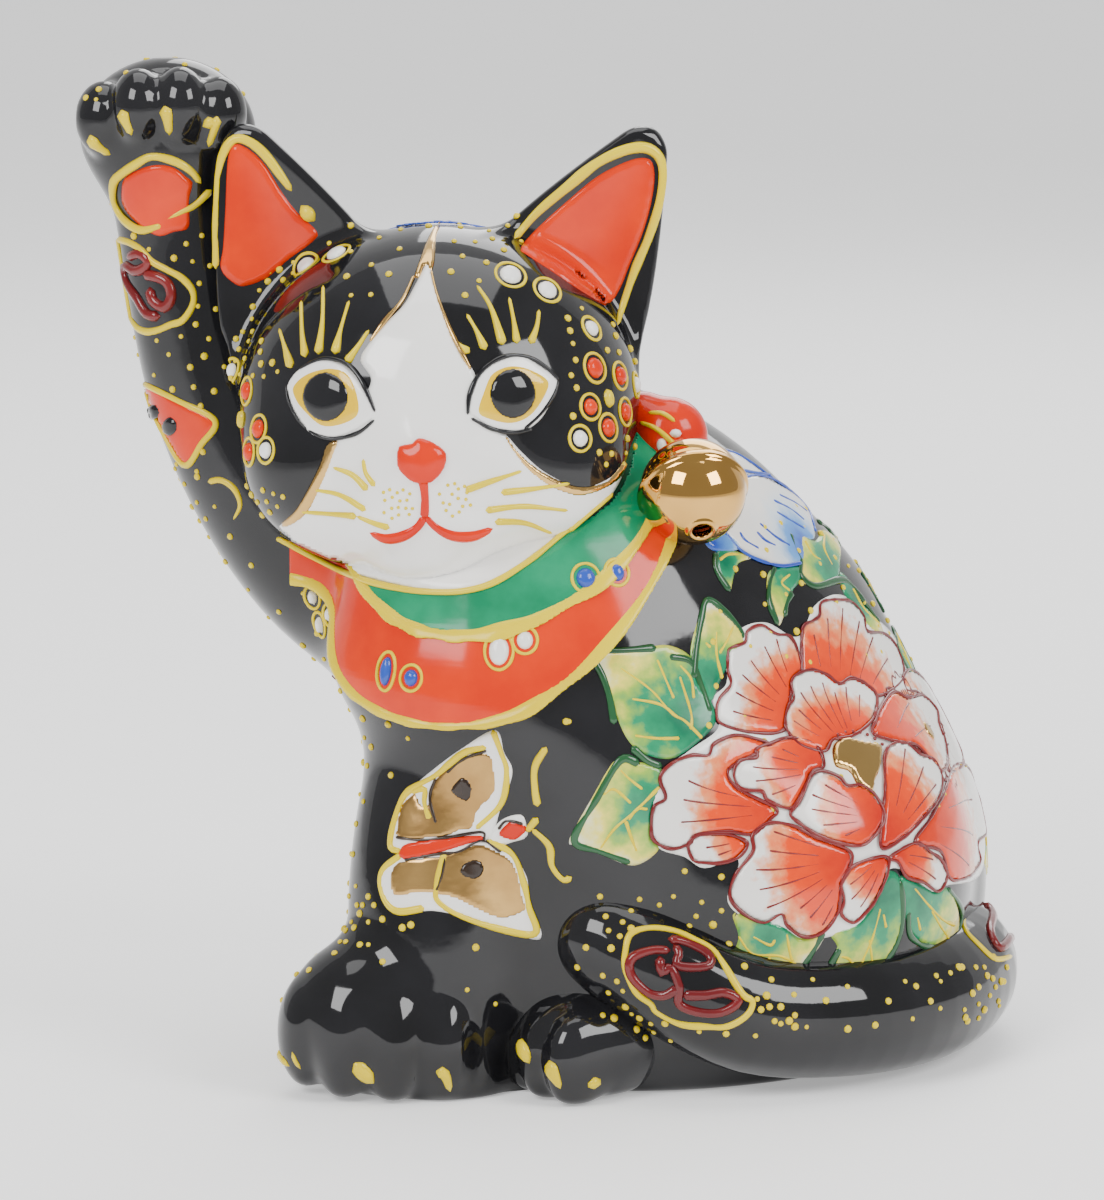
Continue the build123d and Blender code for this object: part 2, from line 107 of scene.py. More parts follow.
def ellipsoid(p, centre, radii, turn=0.0, tilt=0.0):
    """An ellipsoid, turned about Z and then tilted about its own X, in degrees."""
    q = p - centre
    if turn:
        c, s = math.cos(math.radians(turn)), math.sin(math.radians(turn))
        q = np.stack((q[:, 0] * c + q[:, 1] * s, -q[:, 0] * s + q[:, 1] * c, q[:, 2]), 1)
    if tilt:
        c, s = math.cos(math.radians(tilt)), math.sin(math.radians(tilt))
        q = np.stack((q[:, 0], q[:, 1] * c + q[:, 2] * s, -q[:, 1] * s + q[:, 2] * c), 1)
    radii = np.array(radii, float)
    k0 = np.linalg.norm(q / radii, axis=1)
    k1 = np.linalg.norm(q / radii ** 2, axis=1)
    return k0 * (k0 - 1) / np.maximum(k1, 1e-9)


def smooth_stations(stations, steps=5):
    """Stations resampled along a Catmull-Rom curve."""
    s = np.array(stations, float)
    ext = np.vstack((2 * s[0] - s[1], s, 2 * s[-1] - s[-2]))
    out = []
    for i in range(1, len(ext) - 2):
        p0, p1, p2, p3 = ext[i - 1:i + 3]
        for t in np.arange(steps) / steps:
            out.append(0.5 * (2 * p1 + (p2 - p0) * t + (2 * p0 - 5 * p1 + 4 * p2 - p3) * t ** 2
                              + (3 * p1 - p0 - 3 * p2 + p3) * t ** 3))
    out.append(s[-1])
    return np.array(out)


def limb(p, s):
    """A round limb through smoothed stations of x, y, z and radius; far off, only as near as its box."""
    a, ab, thicker = s[:-1, :3], np.diff(s[:, :3], axis=0), np.diff(s[:, 3])
    low, high = s[:, :3].min(0) - s[:, 3].max(), s[:, :3].max(0) + s[:, 3].max()
    d = np.linalg.norm(np.maximum(np.maximum(low - p, p - high), 0), axis=1)
    near = np.flatnonzero(d < 9)
    for part in np.array_split(near, len(near) // 2000 + 1):
        t = np.clip((p[part] @ ab.T - (a * ab).sum(1)) / (ab ** 2).sum(1), 0, 1)
        gap = p[part][:, None] - a - t[..., None] * ab
        each = np.sqrt((gap ** 2).sum(-1)) - s[:-1, 3] - t * thicker
        least = each.min(1, keepdims=True) if len(part) else each[:, :1]
        # A soft minimum, less the little it adds, so that no joint between segments shows
        d[part] = least[:, 0] - 0.5 * np.log(np.exp((least - each) / 0.5).sum(1)) + 0.33
    return d


# The trunk's oval sections: height, centre x, centre y, half length, half width
TORSO = (
    (-12, 25, 1, 44, 33), (0, 26, 1, 49, 36), (10, 27, 1, 53, 38), (25, 28, 1, 55, 39),
    (40, 26, 1, 55.5, 39.5), (55, 20, 0, 55.5, 39), (70, 12, -1, 55.5, 37), (84, 9, -1, 50, 34),
    (96, 4, -1, 43.5, 31), (106, 0, 0, 36, 27), (114, -3, 0, 26, 20), (119, -5, 0, 14, 11), (121, -5, 0, 6, 5),
)
TORSO_FINE = smooth_stations(TORSO, 12)
SPINE = 35.0  # degrees from +X to the line of the spine


def torso(p):
    q = p - ORIGIN
    z = TORSO_FINE[:, 0]
    x = q[:, 0] - np.interp(q[:, 2], z, TORSO_FINE[:, 1])
    y = q[:, 1] - np.interp(q[:, 2], z, TORSO_FINE[:, 2])
    a = np.maximum(np.interp(q[:, 2], z, TORSO_FINE[:, 3]), 3)
    b = np.maximum(np.interp(q[:, 2], z, TORSO_FINE[:, 4]), 3)
    c, s = math.cos(math.radians(SPINE)), math.sin(math.radians(SPINE))
    u, v = x * c + y * s, -x * s + y * c
    k0 = np.sqrt((u / a) ** 2 + (v / b) ** 2)
    k1 = np.sqrt((u / a ** 2) ** 2 + (v / b ** 2) ** 2)
    side = k0 * (k0 - 1) / np.maximum(k1, 1e-6)
    return np.maximum(side, q[:, 2] - 121) * 0.8


RAISED_LEG = ((-67, 9, 160, 12.2), (-65, 9, 146, 11.8), (-62.5, 8, 132, 12.2), (-58, 7, 116, 13.2),
              (-49, 5, 100, 15.0), (-37, 3, 87, 17.0), (-22, 2, 77, 18.0))
STANDING_LEG = ((-10, -14, 72, 18), (-15, -22, 55, 17), (-19, -27, 38, 16), (-20, -30, 20, 15.5),
                (-20, -30, -6, 15.5))
TAIL = ((37, 30, 11.5, 10), (58, 33, 12, 11.3), (71, 8, 12.5, 12), (66, -15, 12.5, 12), (52, -31, 13, 11.5),
        (34, -39, 15, 11), (19, -40.5, 22, 10.2), (9, -39, 27.5, 9.3))


def stations_at(stations):
    return smooth_stations([(*at(*s[:3]), s[3]) for s in stations])


RAISED_SPINE, STANDING_SPINE, TAIL_SPINE = stations_at(RAISED_LEG), stations_at(STANDING_LEG), stations_at(TAIL)


def foot(d, p, width=2.0):
    """A field cut off by the surface it stands on, with a soft edge."""
    return cut(d, 0.0 - p[:, 2], width)


def raised_leg(p):
    d = limb(p, RAISED_SPINE)
    d = blend(d, ellipsoid(p, at(-68, 9, 162), (15.4, 11.5, 13.0)), 5)
    toes = ((-78.6, 2, 165.0, 5.0, 5.5, 6.6), (-72.2, -1, 167.3, 4.9, 5.6, 6.8),
            (-65.0, -1.3, 167.6, 4.9, 5.6, 6.8), (-58.3, 0.5, 166.0, 4.8, 5.5, 6.6))
    for x, y, z, *radii in toes:
        d = blend(d, ellipsoid(p, at(x, y, z), radii), 1.6)
    return d


def standing_leg(p):
    d = limb(p, STANDING_SPINE)
    d = blend(d, ellipsoid(p, at(-31.5, -35, 13), (15.5, 13.5, 14.0), SPINE), 5)
    toes = ((-42.5, -37.5, 10.5, 5.2, 7.5, 9.5), (-36.0, -43.0, 10.0, 5.2, 6.5, 10.0),
            (-27.5, -45.0, 9.5, 5.4, 5.2, 9.8), (-19.0, -43.5, 9.0, 5.2, 5.0, 9.0))
    for x, y, z, *radii in toes:
        d = blend(d, ellipsoid(p, at(x, y, z), radii), 1.8)
    return foot(d, p)


def trunk(p):
    d = torso(p)
    d = blend(d, ellipsoid(p, at(42, -15, 33), (33, 26, 32), SPINE), 6)
    return foot(blend(d, ellipsoid(p, at(12, 22, 32), (33, 26, 32), SPINE), 6), p)


def body(p):
    """Trunk, haunches and both forelegs, luted into one."""
    return blend(blend(trunk(p), raised_leg(p), 7), standing_leg(p), 5)


def skull(p):
    d = ellipsoid(p, HEAD, HEAD_R)
    for side in (-1, 1):
        d = blend(d, ellipsoid(p, HEAD + (side * 15, -10, -10), (17.5, 17, 15)), 6)
        d = blend(d, ellipsoid(p, HEAD + (-1.5 + side * 6.5, -23.0, -14.5), (9.0, 9.2, 8.0)), 5)
    d = blend(d, ellipsoid(p, HEAD + (-2, -21.5, -6), (8, 11.0, 8)), 6)
    return blend(d, ellipsoid(p, HEAD + (-1.5, -19, -22), (9, 8.5, 6)), 5)


# Each ear: foot, tip, the way its open side faces, half width at its foot
EARS = {
    "right": ((-43, -9, 135), (-54.5, -4, 163.8), (-0.15, -1, 0.1), 16.0),
    "left": ((1, -9, 135), (17, -3, 163.2), (0.25, -1, 0.1), 16.5),
}


def ear(p, foot_at, tip, facing, half_width):
    a, b = at(*foot_at), at(*tip)
    length = np.linalg.norm(b - a)
    rise = (b - a) / length
    across = np.cross(rise, np.array(facing, float))
    across /= np.linalg.norm(across)
    ahead = np.cross(across, rise)
    q = p - a
    h, u, w = q @ rise, q @ across, q @ ahead
    share = np.clip(h / length, -0.3, 1.0)
    half = (half_width - 2.2) * (1 - np.maximum(share, 0) ** 1.25) * 0.92 + 3.2
    bow = 4.2 * (1 - share) * np.clip(1 - (u / np.maximum(half, 1)) ** 2, -0.5, 1)
    outline = (np.abs(u) - half) * 0.86
    plate = np.abs(w + bow - 1.5) - 2.1
    d = cut(cut(outline, plate, 2.2), h - length - 1.2, 4.0)
    return np.maximum(d, -h - 8)


def head(p):
    d = skull(p)
    for place in EARS.values():
        d = blend(d, ear(p, *place), 4.0)
    return d


def tail(p):
    return foot(limb(p, TAIL_SPINE), p)


def hind_paw(p, centre):
    d = ellipsoid(p, at(*centre), (14.5, 11, 11), SPINE)
    heading = np.array((-math.cos(math.radians(SPINE)), -math.sin(math.radians(SPINE)), 0))
    aside = np.array((-heading[1], heading[0], 0))
    for share in (-1, 0, 1):
        knuckle = at(*centre) + heading * (8.5 - abs(share)) + aside * share * 6.2 + (0, 0, -1.5)
        d = blend(d, ellipsoid(p, knuckle, (6.4, 4.2, 8.4), SPINE), 1.6)
    return foot(d, p)


def hind_paw_left(p):
    return hind_paw(p, (7, -37, 9))


def hind_paw_right(p):
    return hind_paw(p, (-13, 25, 9))


def knot(p):
    d = ellipsoid(p, at(20, -13, 111.0), (7.0, 6.0, 7.0))
    d = blend(d, ellipsoid(p, at(15.5, -12.0, 115.0), (5.0, 4.5, 3.6), 0, 20), 1.2)
    return blend(d, ellipsoid(p, at(23.5, -13.5, 107.0), (4.0, 4.2, 4.6)), 1.2)


def porcelain(p):
    """Everything that enamel can lie on."""
    d = np.minimum(body(p), head(p))
    for part in (tail, hind_paw_left, hind_paw_right):
        d = np.minimum(d, part(p))
    return d


def slope(field, p, step=0.15):
    """The field's unit gradient, which is the glaze's normal."""
    g = np.empty_like(p)
    for axis in range(3):
        offset = np.zeros(3)
        offset[axis] = step
        g[:, axis] = field(p + offset) - field(p - offset)
    return g / np.maximum(np.linalg.norm(g, axis=1, keepdims=True), 1e-9)


# --- meshes ----------------------------------------------------------------------------------------
def new_piece(name, points, faces, material, nodes=()):
    """A shown piece from points in millimetres, riding on the porcelain, standing for CAD nodes."""
    mesh = bpy.data.meshes.new(name)
    points = np.clip(np.asarray(points) * MM, CAD_BOX[0], CAD_BOX[1])
    mesh.from_pydata([tuple(p) for p in points], [], [tuple(map(int, f)) for f in faces])
    mesh.validate()
    mesh.polygons.foreach_set("use_smooth", [True] * len(mesh.polygons))
    piece = bpy.data.objects.new(name, mesh)
    bpy.context.scene.collection.objects.link(piece)
    mesh.materials.append(material)
    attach(piece, "root")
    if nodes:
        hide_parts(*nodes)
    return piece


def mesh_field(field, low, high, voxel):
    """Quads on the zero of a field inside a box, in millimetres."""
    coarse = voxel * 4
    low, high = np.array(low, float), np.array(high, float)
    blocks = np.ceil((high - low) / coarse).astype(int)
    centres = np.stack(np.meshgrid(*[low[i] + (np.arange(blocks[i]) + 0.5) * coarse for i in range(3)],
                                   indexing="ij"), -1).reshape(-1, 3)
    rough = field(centres).reshape(blocks)
    values = np.repeat(np.repeat(np.repeat(rough, 4, 0), 4, 1), 4, 2).astype(np.float32)
    near = np.argwhere(np.abs(rough) < coarse * 1.9)
    step = np.stack(np.meshgrid(*[np.arange(4)] * 3, indexing="ij"), -1).reshape(-1, 3)
    index = (near[:, None, :] * 4 + step[None]).reshape(-1, 3)
    values[tuple(index.T)] = field(low + (index + 0.5) * voxel)
    grid = openvdb.FloatGrid(10.0)
    grid.copyFromArray(values)
    points, quads = grid.convertToQuads(0.0)
    points = low + (points + 0.5) * voxel
    for _ in range(2):
        points = points - slope(field, points) * np.clip(field(points), -voxel, voxel)[:, None]
    return points, quads


def sculpt(name, field, low, high, voxel, material, nodes):
    """A casting meshed from its field, with the field's own normals."""
    points, quads = mesh_field(field, low, high, voxel)
    piece = new_piece(name, points, quads, material, nodes)
    normals = slope(field, np.array([v.co for v in piece.data.vertices], float) / MM)
    piece.data.normals_split_custom_set_from_vertices([tuple(n) for n in normals])
    return piece


# --- materials -------------------------------------------------------------------------------------
def ceramic(name, colour, roughness=0.08, metallic=0.0, bump=0.02, bump_scale=260.0, second=None, blotch=60.0,
            shine=0.5):
    """A glassy fired surface: its colour drifts a little, and the glaze has a faint orange peel."""
    material = bpy.data.materials.new(name)
    material.use_nodes = True
    nodes, links = material.node_tree.nodes, material.node_tree.links
    shader = nodes["Principled BSDF"]
    shader.inputs["Roughness"].default_value = roughness
    shader.inputs["Metallic"].default_value = metallic
    shader.inputs["IOR"].default_value = 1.5
    shader.inputs["Specular IOR Level"].default_value = shine
    where = nodes.new("ShaderNodeTexCoord")
    drift = nodes.new("ShaderNodeTexNoise")
    drift.inputs["Scale"].default_value = blotch
    drift.inputs["Detail"].default_value = 5
    links.new(where.outputs["Object"], drift.inputs["Vector"])
    ramp = nodes.new("ShaderNodeValToRGB")
    ramp.color_ramp.elements[0].position = 0.35
    ramp.color_ramp.elements[1].position = 0.65
    ramp.color_ramp.elements[0].color = (*colour, 1)
    ramp.color_ramp.elements[1].color = (*(second or colour), 1)
    links.new(drift.outputs["Fac"], ramp.inputs["Fac"])
    links.new(ramp.outputs["Color"], shader.inputs["Base Color"])
    peel = nodes.new("ShaderNodeTexNoise")
    peel.inputs["Scale"].default_value = bump_scale
    peel.inputs["Detail"].default_value = 2
    links.new(where.outputs["Object"], peel.inputs["Vector"])
    relief = nodes.new("ShaderNodeBump")
    relief.inputs["Strength"].default_value = bump
    relief.inputs["Distance"].default_value = 0.001
    links.new(peel.outputs["Fac"], relief.inputs["Height"])
    links.new(relief.outputs["Normal"], shader.inputs["Normal"])
    return material


BLACK = ceramic("black_glaze", (0.006, 0.006, 0.007), 0.06, second=(0.012, 0.012, 0.014))
WHITE = ceramic("white_enamel", (0.95, 0.94, 0.91), 0.1, second=(0.91, 0.90, 0.87))
YELLOW = ceramic("yellow_enamel", (0.82, 0.63, 0.0), 0.2, second=(0.76, 0.56, 0.0), bump=0.1, shine=0.3)
ORANGE = ceramic("orange_enamel", (0.78, 0.038, 0.0), 0.12, second=(0.66, 0.022, 0.0), blotch=90, shine=0.3)
RED = ceramic("red_enamel", (0.62, 0.012, 0.0), 0.12, second=(0.72, 0.026, 0.0), blotch=70, shine=0.3)
GREEN = ceramic("green_enamel", (0.0, 0.20, 0.085), 0.12, second=(0.005, 0.29, 0.13), blotch=120, shine=0.3)
BLUE = ceramic("blue_enamel", (0.02, 0.06, 0.42), 0.12, second=(0.03, 0.1, 0.5))
MAROON = ceramic("maroon_enamel", (0.13, 0.008, 0.01), 0.14, second=(0.2, 0.015, 0.015), bump=0.1)
GOLD = ceramic("gold_lustre", (0.62, 0.38, 0.12), 0.14, 1.0, second=(0.78, 0.5, 0.18), bump=0.04)


def graded(name, stops, mottle, scale=300.0):
    """A fired colour shaded along the tone that its points carry, with brush mottling."""
    material = ceramic(name, stops[0][1], 0.1)
    nodes, links = material.node_tree.nodes, material.node_tree.links
    along = nodes.new("ShaderNodeAttribute")
    along.attribute_name = "tone"
    where = nodes.new("ShaderNodeTexCoord")
    brush = nodes.new("ShaderNodeTexNoise")
    brush.inputs["Scale"].default_value = scale
    brush.inputs["Detail"].default_value = 6
    links.new(where.outputs["Object"], brush.inputs["Vector"])
    centred = nodes.new("ShaderNodeMath")
    centred.operation = "MULTIPLY_ADD"
    centred.inputs[1].default_value = mottle * 4
    centred.inputs[2].default_value = -mottle * 2
    links.new(brush.outputs["Fac"], centred.inputs[0])
    total = nodes.new("ShaderNodeMath")
    total.operation = "ADD"
    links.new(along.outputs["Fac"], total.inputs[0])
    links.new(centred.outputs["Value"], total.inputs[1])
    ramp = nodes.new("ShaderNodeValToRGB")
    for i, (position, colour) in enumerate(stops):
        stop = ramp.color_ramp.elements[i] if i < 2 else ramp.color_ramp.elements.new(position)
        stop.position = position
        stop.color = (*colour, 1)
    links.new(total.outputs["Value"], ramp.inputs["Fac"])
    links.new(ramp.outputs["Color"], nodes["Principled BSDF"].inputs["Base Color"])
    return material


CREAM = (0.86, 0.84, 0.80)
# Each graded colour's first two stops are its ends, and the rest lie between them
IRIS = graded("iris_enamel", ((0.0, (0.86, 0.74, 0.36)), (0.45, (0.80, 0.50, 0.0)), (0.2, (0.82, 0.60, 0.03))),
              mottle=0.04)
MIRROR = ceramic("gold_mirror", (0.74, 0.43, 0.12), 0.05, 1.0, second=(0.64, 0.35, 0.09), bump_scale=160)
PETAL = graded("petal_enamel", ((0.0, CREAM), (1.0, (0.50, 0.010, 0.004)), (0.22, CREAM),
                                (0.33, (0.90, 0.30, 0.12)), (0.46, (0.86, 0.055, 0.0))), mottle=0.09, scale=420)
LEAF = graded("leaf_wash", ((0.0, (0.80, 0.82, 0.66)), (1.0, (0.0, 0.15, 0.07)), (0.25, (0.84, 0.74, 0.10)),
                            (0.48, (0.30, 0.50, 0.06)), (0.66, (0.01, 0.28, 0.12))), mottle=0.22, scale=260)
BLUE_WASH = graded("blue_wash", ((0.0, CREAM), (1.0, (0.01, 0.04, 0.42)), (0.35, (0.66, 0.76, 0.84)),
                                 (0.62, (0.10, 0.32, 0.72))), mottle=0.08, scale=380)
DARK_GREEN = ceramic("dark_green_enamel", (0.012, 0.07, 0.022), 0.12, second=(0.02, 0.10, 0.035))
BRONZE = ceramic("bronze_lustre", (0.42, 0.24, 0.08), 0.26, 1.0, second=(0.62, 0.38, 0.13), bump=0.12, blotch=110)
UMBER = ceramic("umber_enamel", (0.02, 0.01, 0.006), 0.15, second=(0.035, 0.02, 0.01))


# --- laying enamel on the glaze --------------------------------------------------------------------
FAR = 1e9
LANDED = 0.004  # a ray this close to the glaze has reached it
NEAR_MISS = 0.5  # a ray that passes this close is drawn back onto the glaze


class View:
    """A place that drawings are laid out from: points are millimetres across and up a plane through the
    target, and reach the glaze along rays from the eye."""

    def __init__(self, azimuth, elevation, target=TARGET, distance=DISTANCE, near=110.0):
        a, e = math.radians(azimuth), math.radians(elevation)
        self.ahead = np.array((math.sin(a) * math.cos(e), math.cos(a) * math.cos(e), -math.sin(e)))
        self.across = np.array((math.cos(a), -math.sin(a), 0))
        self.up = np.cross(self.across, self.ahead)
        self.target = np.array(target, float)
        self.distance, self.near = distance, near
        self.eye = self.target - self.ahead * distance

    def land(self, uv, field=porcelain):
        """Where drawn points land on a field, and which of them do."""
        uv = np.asarray(uv, float)
        goal = self.target + uv[:, :1] * self.across + uv[:, 1:2] * self.up
        ray = goal - self.eye
        ray /= np.linalg.norm(ray, axis=1, keepdims=True)
        along = np.linalg.norm(goal - self.eye, axis=1) - self.near
        live = np.arange(len(uv))
        nearest, closest = np.full(len(uv), FAR), along.copy()
        for _ in range(90):
            d = field(self.eye + ray[live] * along[live, None])
            better = np.abs(d) < nearest[live]
            nearest[live[better]], closest[live[better]] = np.abs(d)[better], along[live[better]]
            along[live] += np.clip(d * 0.85, -4, 30)
            live = live[(np.abs(d) > LANDED) & (along[live] < self.distance + 130)]
            if not len(live):
                break
        # Rays that just miss are drawn back onto the outline they pass
        p = self.eye + ray * closest[:, None]
        p = p - slope(field, p) * field(p)[:, None]
        return p, nearest < NEAR_MISS

    def seen(self, p):
        """Where places appear on the drawing plane."""
        ray = p - self.eye
        flat = ray * (self.distance / (ray @ self.ahead))[:, None] + self.eye - self.target
        return np.stack((flat @ self.across, flat @ self.up), 1)


def square_on(place, normal):
    """The view straight down on a place on the glaze, from close by."""
    azimuth, elevation = math.atan2(-normal[0], -normal[1]), math.asin(normal[2])
    return View(math.degrees(azimuth), math.degrees(elevation), place, 200.0, 5.0)


FRONT = View(0, 10)
FLANK = View(322, 8)
SEED = 7
rng = np.random.default_rng(SEED)


def smooth_path(points, spacing=0.6, closed=False):
    """A Catmull-Rom curve through points of any width, resampled evenly."""
    s = np.array(points, float)
    ext = np.vstack((s[-1], s, s[0], s[1])) if closed else np.vstack((2 * s[0] - s[1], s, 2 * s[-1] - s[-2]))
    fine = []
    for i in range(1, len(ext) - 2):
        p0, p1, p2, p3 = ext[i - 1:i + 3]
        t = np.linspace(0, 1, 12, endpoint=False)[:, None]
        fine.append(0.5 * (2 * p1 + (p2 - p0) * t + (2 * p0 - 5 * p1 + 4 * p2 - p3) * t ** 2
                           + (3 * p1 - p0 - 3 * p2 + p3) * t ** 3))
    if not closed:
        fine.append(s[-1:])
    fine = np.vstack(fine)
    if closed:
        fine = np.vstack((fine, fine[:1]))
    run = np.concatenate(([0], np.cumsum(np.linalg.norm(np.diff(fine[:, :2], axis=0), axis=1))))
    count = max(3, int(round(run[-1] / spacing)) + 1)
    marks = np.linspace(0, run[-1], count)
    out = np.stack([np.interp(marks, run, fine[:, i]) for i in range(fine.shape[1])], 1)
    return out[:-1] if closed else out


def inside_depth(points, loop):
    """How far inside a closed loop each point is; outside it is below zero."""
    depth = np.full(len(points), FAR)
    parity = np.zeros(len(points), bool)
    for p, q in zip(loop, np.roll(loop, -1, 0)):
        e = q - p
        t = np.clip(((points - p) @ e) / max(e @ e, 1e-12), 0, 1)
        depth = np.minimum(depth, np.linalg.norm(points - p - t[:, None] * e, axis=1))
        crosses = (p[1] > points[:, 1]) != (q[1] > points[:, 1])
        with np.errstate(divide="ignore", invalid="ignore"):
            x = p[0] + (points[:, 1] - p[1]) / (q[1] - p[1]) * e[0]
        parity ^= crosses & (points[:, 0] < x)
    return np.where(parity, depth, -depth)


class Sheet:
    """Collects the closed shells of one enamel colour, with the tone at each point where it is shaded."""

    def __init__(self):
        self.points, self.faces, self.tones = [], [], []
        self.count = 0

    def add(self, points, faces, tone=None):
        self.points.append(points)
        self.faces += [tuple(int(i) + self.count for i in face) for face in faces]
        if tone is not None:
            self.tones.append(tone)
        self.count += len(points)

    def finish(self, name, material, nodes=()):
        # Blender numbers a material whose name the frame's own materials already have
        piece = new_piece(name, np.vstack(self.points), self.faces, material, nodes)
        if self.tones:
            layer = piece.data.attributes.new("tone", "FLOAT", "POINT")
            layer.data.foreach_set("value", np.concatenate(self.tones).astype(np.float32))


def sheets(count):
    return [Sheet() for _ in range(count)]


def fire(*rows):
    """Turns sheets into pieces: each row is a sheet, its piece's name, its enamel and the nodes it stands for."""
    for sheet, name, material, *nodes in rows:
        sheet.finish(name, material, nodes)


SINK = 0.3  # how far enamel reaches down into the glaze


def open_edges(quads):
    """The edges that only one quad uses, in that quad's direction."""
    edges = np.vstack([quads[:, (i, (i + 1) % 4)] for i in range(4)])
    _, first, times = np.unique(np.sort(edges, 1), axis=0, return_index=True, return_counts=True)
    return edges[first[times == 1]]


def patch(sheet, view, outline, thick=0.4, cell=0.45, lift=0.0, rim=0.7, field=porcelain, tone=None):
    """A puffed patch of enamel inside a closed outline. Its tone is a function of the drawn points."""
    loop = smooth_path(outline, 0.8, True)[:, :2]
    low, high = loop.min(0) - cell, loop.max(0) + cell
    nu, nv = (np.ceil((high - low) / cell).astype(int) + 1)
    uv = np.stack(np.meshgrid(low[0] + np.arange(nu) * cell, low[1] + np.arange(nv) * cell, indexing="ij"), -1)
    uv = uv.reshape(-1, 2)
    depth = inside_depth(uv, loop)
    keep = depth > -0.5 * cell
    ids = np.arange(nu * nv).reshape(nu, nv)
    quads = np.stack((ids[:-1, :-1], ids[1:, :-1], ids[1:, 1:], ids[:-1, 1:]), -1).reshape(-1, 4)
    quads = quads[keep[quads].all(1)]
    used = np.unique(quads)
    if len(used) < 4:
        return
    # Every grid point on the rim moves onto the outline
    edge = np.unique(open_edges(quads))
    step = 0.05
    grow = [(inside_depth(uv[edge] + way, loop) - inside_depth(uv[edge] - way, loop)) / (2 * step)
            for way in ((step, 0), (0, step))]
    norm = np.maximum(grow[0] ** 2 + grow[1] ** 2, 0.25)
    uv[edge] -= np.stack(grow, 1) * (depth[edge] / norm)[:, None]
    drawn, s = uv[used], np.maximum(depth[used], 0)
    s[np.isin(used, edge)] = 0
    p, hit = view.land(drawn, field)
    place = np.full(nu * nv, -1)
    place[used] = np.arange(len(used))
    quads = place[quads]
    quads = quads[hit[quads].all(1)]
    # Quads stretched over an edge of the glaze are dropped
    span = np.linalg.norm(p[quads] - p[np.roll(quads, 1, 1)], axis=2).max(1)
    quads = quads[span < cell * 7]
    if not len(quads):
        return
    used = np.unique(quads)
    renumber = np.full(len(p), -1)
    renumber[used] = np.arange(len(used))
    quads, p, s, drawn = renumber[quads], p[used], s[used], drawn[used]
    n = slope(field, p)
    height = thick * np.sqrt(np.maximum(1 - (1 - np.minimum(s / rim, 1)) ** 2, 0))
    top = p + n * (height + lift * (s > 0))[:, None]
    low_side = p - n * SINK
    rimline = open_edges(quads)
    m = len(p)
    a, b, c = (top[quads[:, i]] for i in range(3))
    flip = np.mean(np.einsum("ij,ij->i", np.cross(b - a, c - a), n[quads[:, 0]])) < 0
    walls = np.stack((rimline[:, 0], rimline[:, 1], rimline[:, 1] + m, rimline[:, 0] + m), 1)[:, ::-1]
    faces = np.vstack((quads, quads[:, ::-1] + m, walls))
    if flip:
        faces = faces[:, ::-1]
    sheet.add(np.vstack((top, low_side)), faces, tone and np.tile(tone(drawn), 2))


RING = 8  # points round a piped line


def stroke(sheet, view, path, width=1.2, rise=0.5, closed=False, field=porcelain, lift=0.0, wobble=0.12):
    """A piped line through drawn points; a third number at a point scales its width there."""
    path = np.array([tuple(q) if len(q) == 3 else (*q, 1.0) for q in path], float)
    spacing = min(max(width * 0.45, 0.25), 0.8)
    fine = smooth_path(path, spacing, closed)
    p, hit = view.land(fine[:, :2], field)
    if hit.sum() < 3:
        return
    fine, p = fine[hit], p[hit]
    n = slope(field, p)
    t = np.gradient(p, axis=0) if not closed else np.roll(p, -1, 0) - np.roll(p, 1, 0)
    t /= np.maximum(np.linalg.norm(t, axis=1, keepdims=True), 1e-9)
    b = np.cross(t, n)
    b /= np.maximum(np.linalg.norm(b, axis=1, keepdims=True), 1e-9)
    count = len(p)
    knots = np.arange(0, count + 6, 5)
    drift = np.interp(np.arange(count), knots, rng.uniform(-1, 1, len(knots)))
    half = width / 2 * fine[:, 2] * (1 + wobble * drift)
    if not closed:
        run = np.concatenate(([0], np.cumsum(np.linalg.norm(np.diff(p, axis=0), axis=1))))
        for distance in (run, run[-1] - run):
            near = np.clip(distance / np.maximum(half, 1e-3), 0, 1)
            half = half * np.sqrt(np.maximum(1 - (1 - near) ** 2, 0.02))
    angle = np.arange(RING) / RING * 2 * math.pi
    up = np.where(np.sin(angle) >= 0, np.sin(angle) * 2 * rise, np.sin(angle) * 0.7)
    rings = (p + n * lift)[:, None] + b[:, None] * (half[:, None] * np.cos(angle))[..., None] \
        + n[:, None] * (half[:, None] * up)[..., None]
    points = rings.reshape(-1, 3)
    last = count if closed else count - 1
    faces = []
    for i in range(last):
        j = (i + 1) % count
        faces += [(i * RING + k, j * RING + k, j * RING + (k + 1) % RING, i * RING + (k + 1) % RING)
                  for k in range(RING)]
    if not closed:
        faces += [tuple(range(RING)), tuple(range((count - 1) * RING, count * RING))[::-1]]
    sheet.add(points, faces)


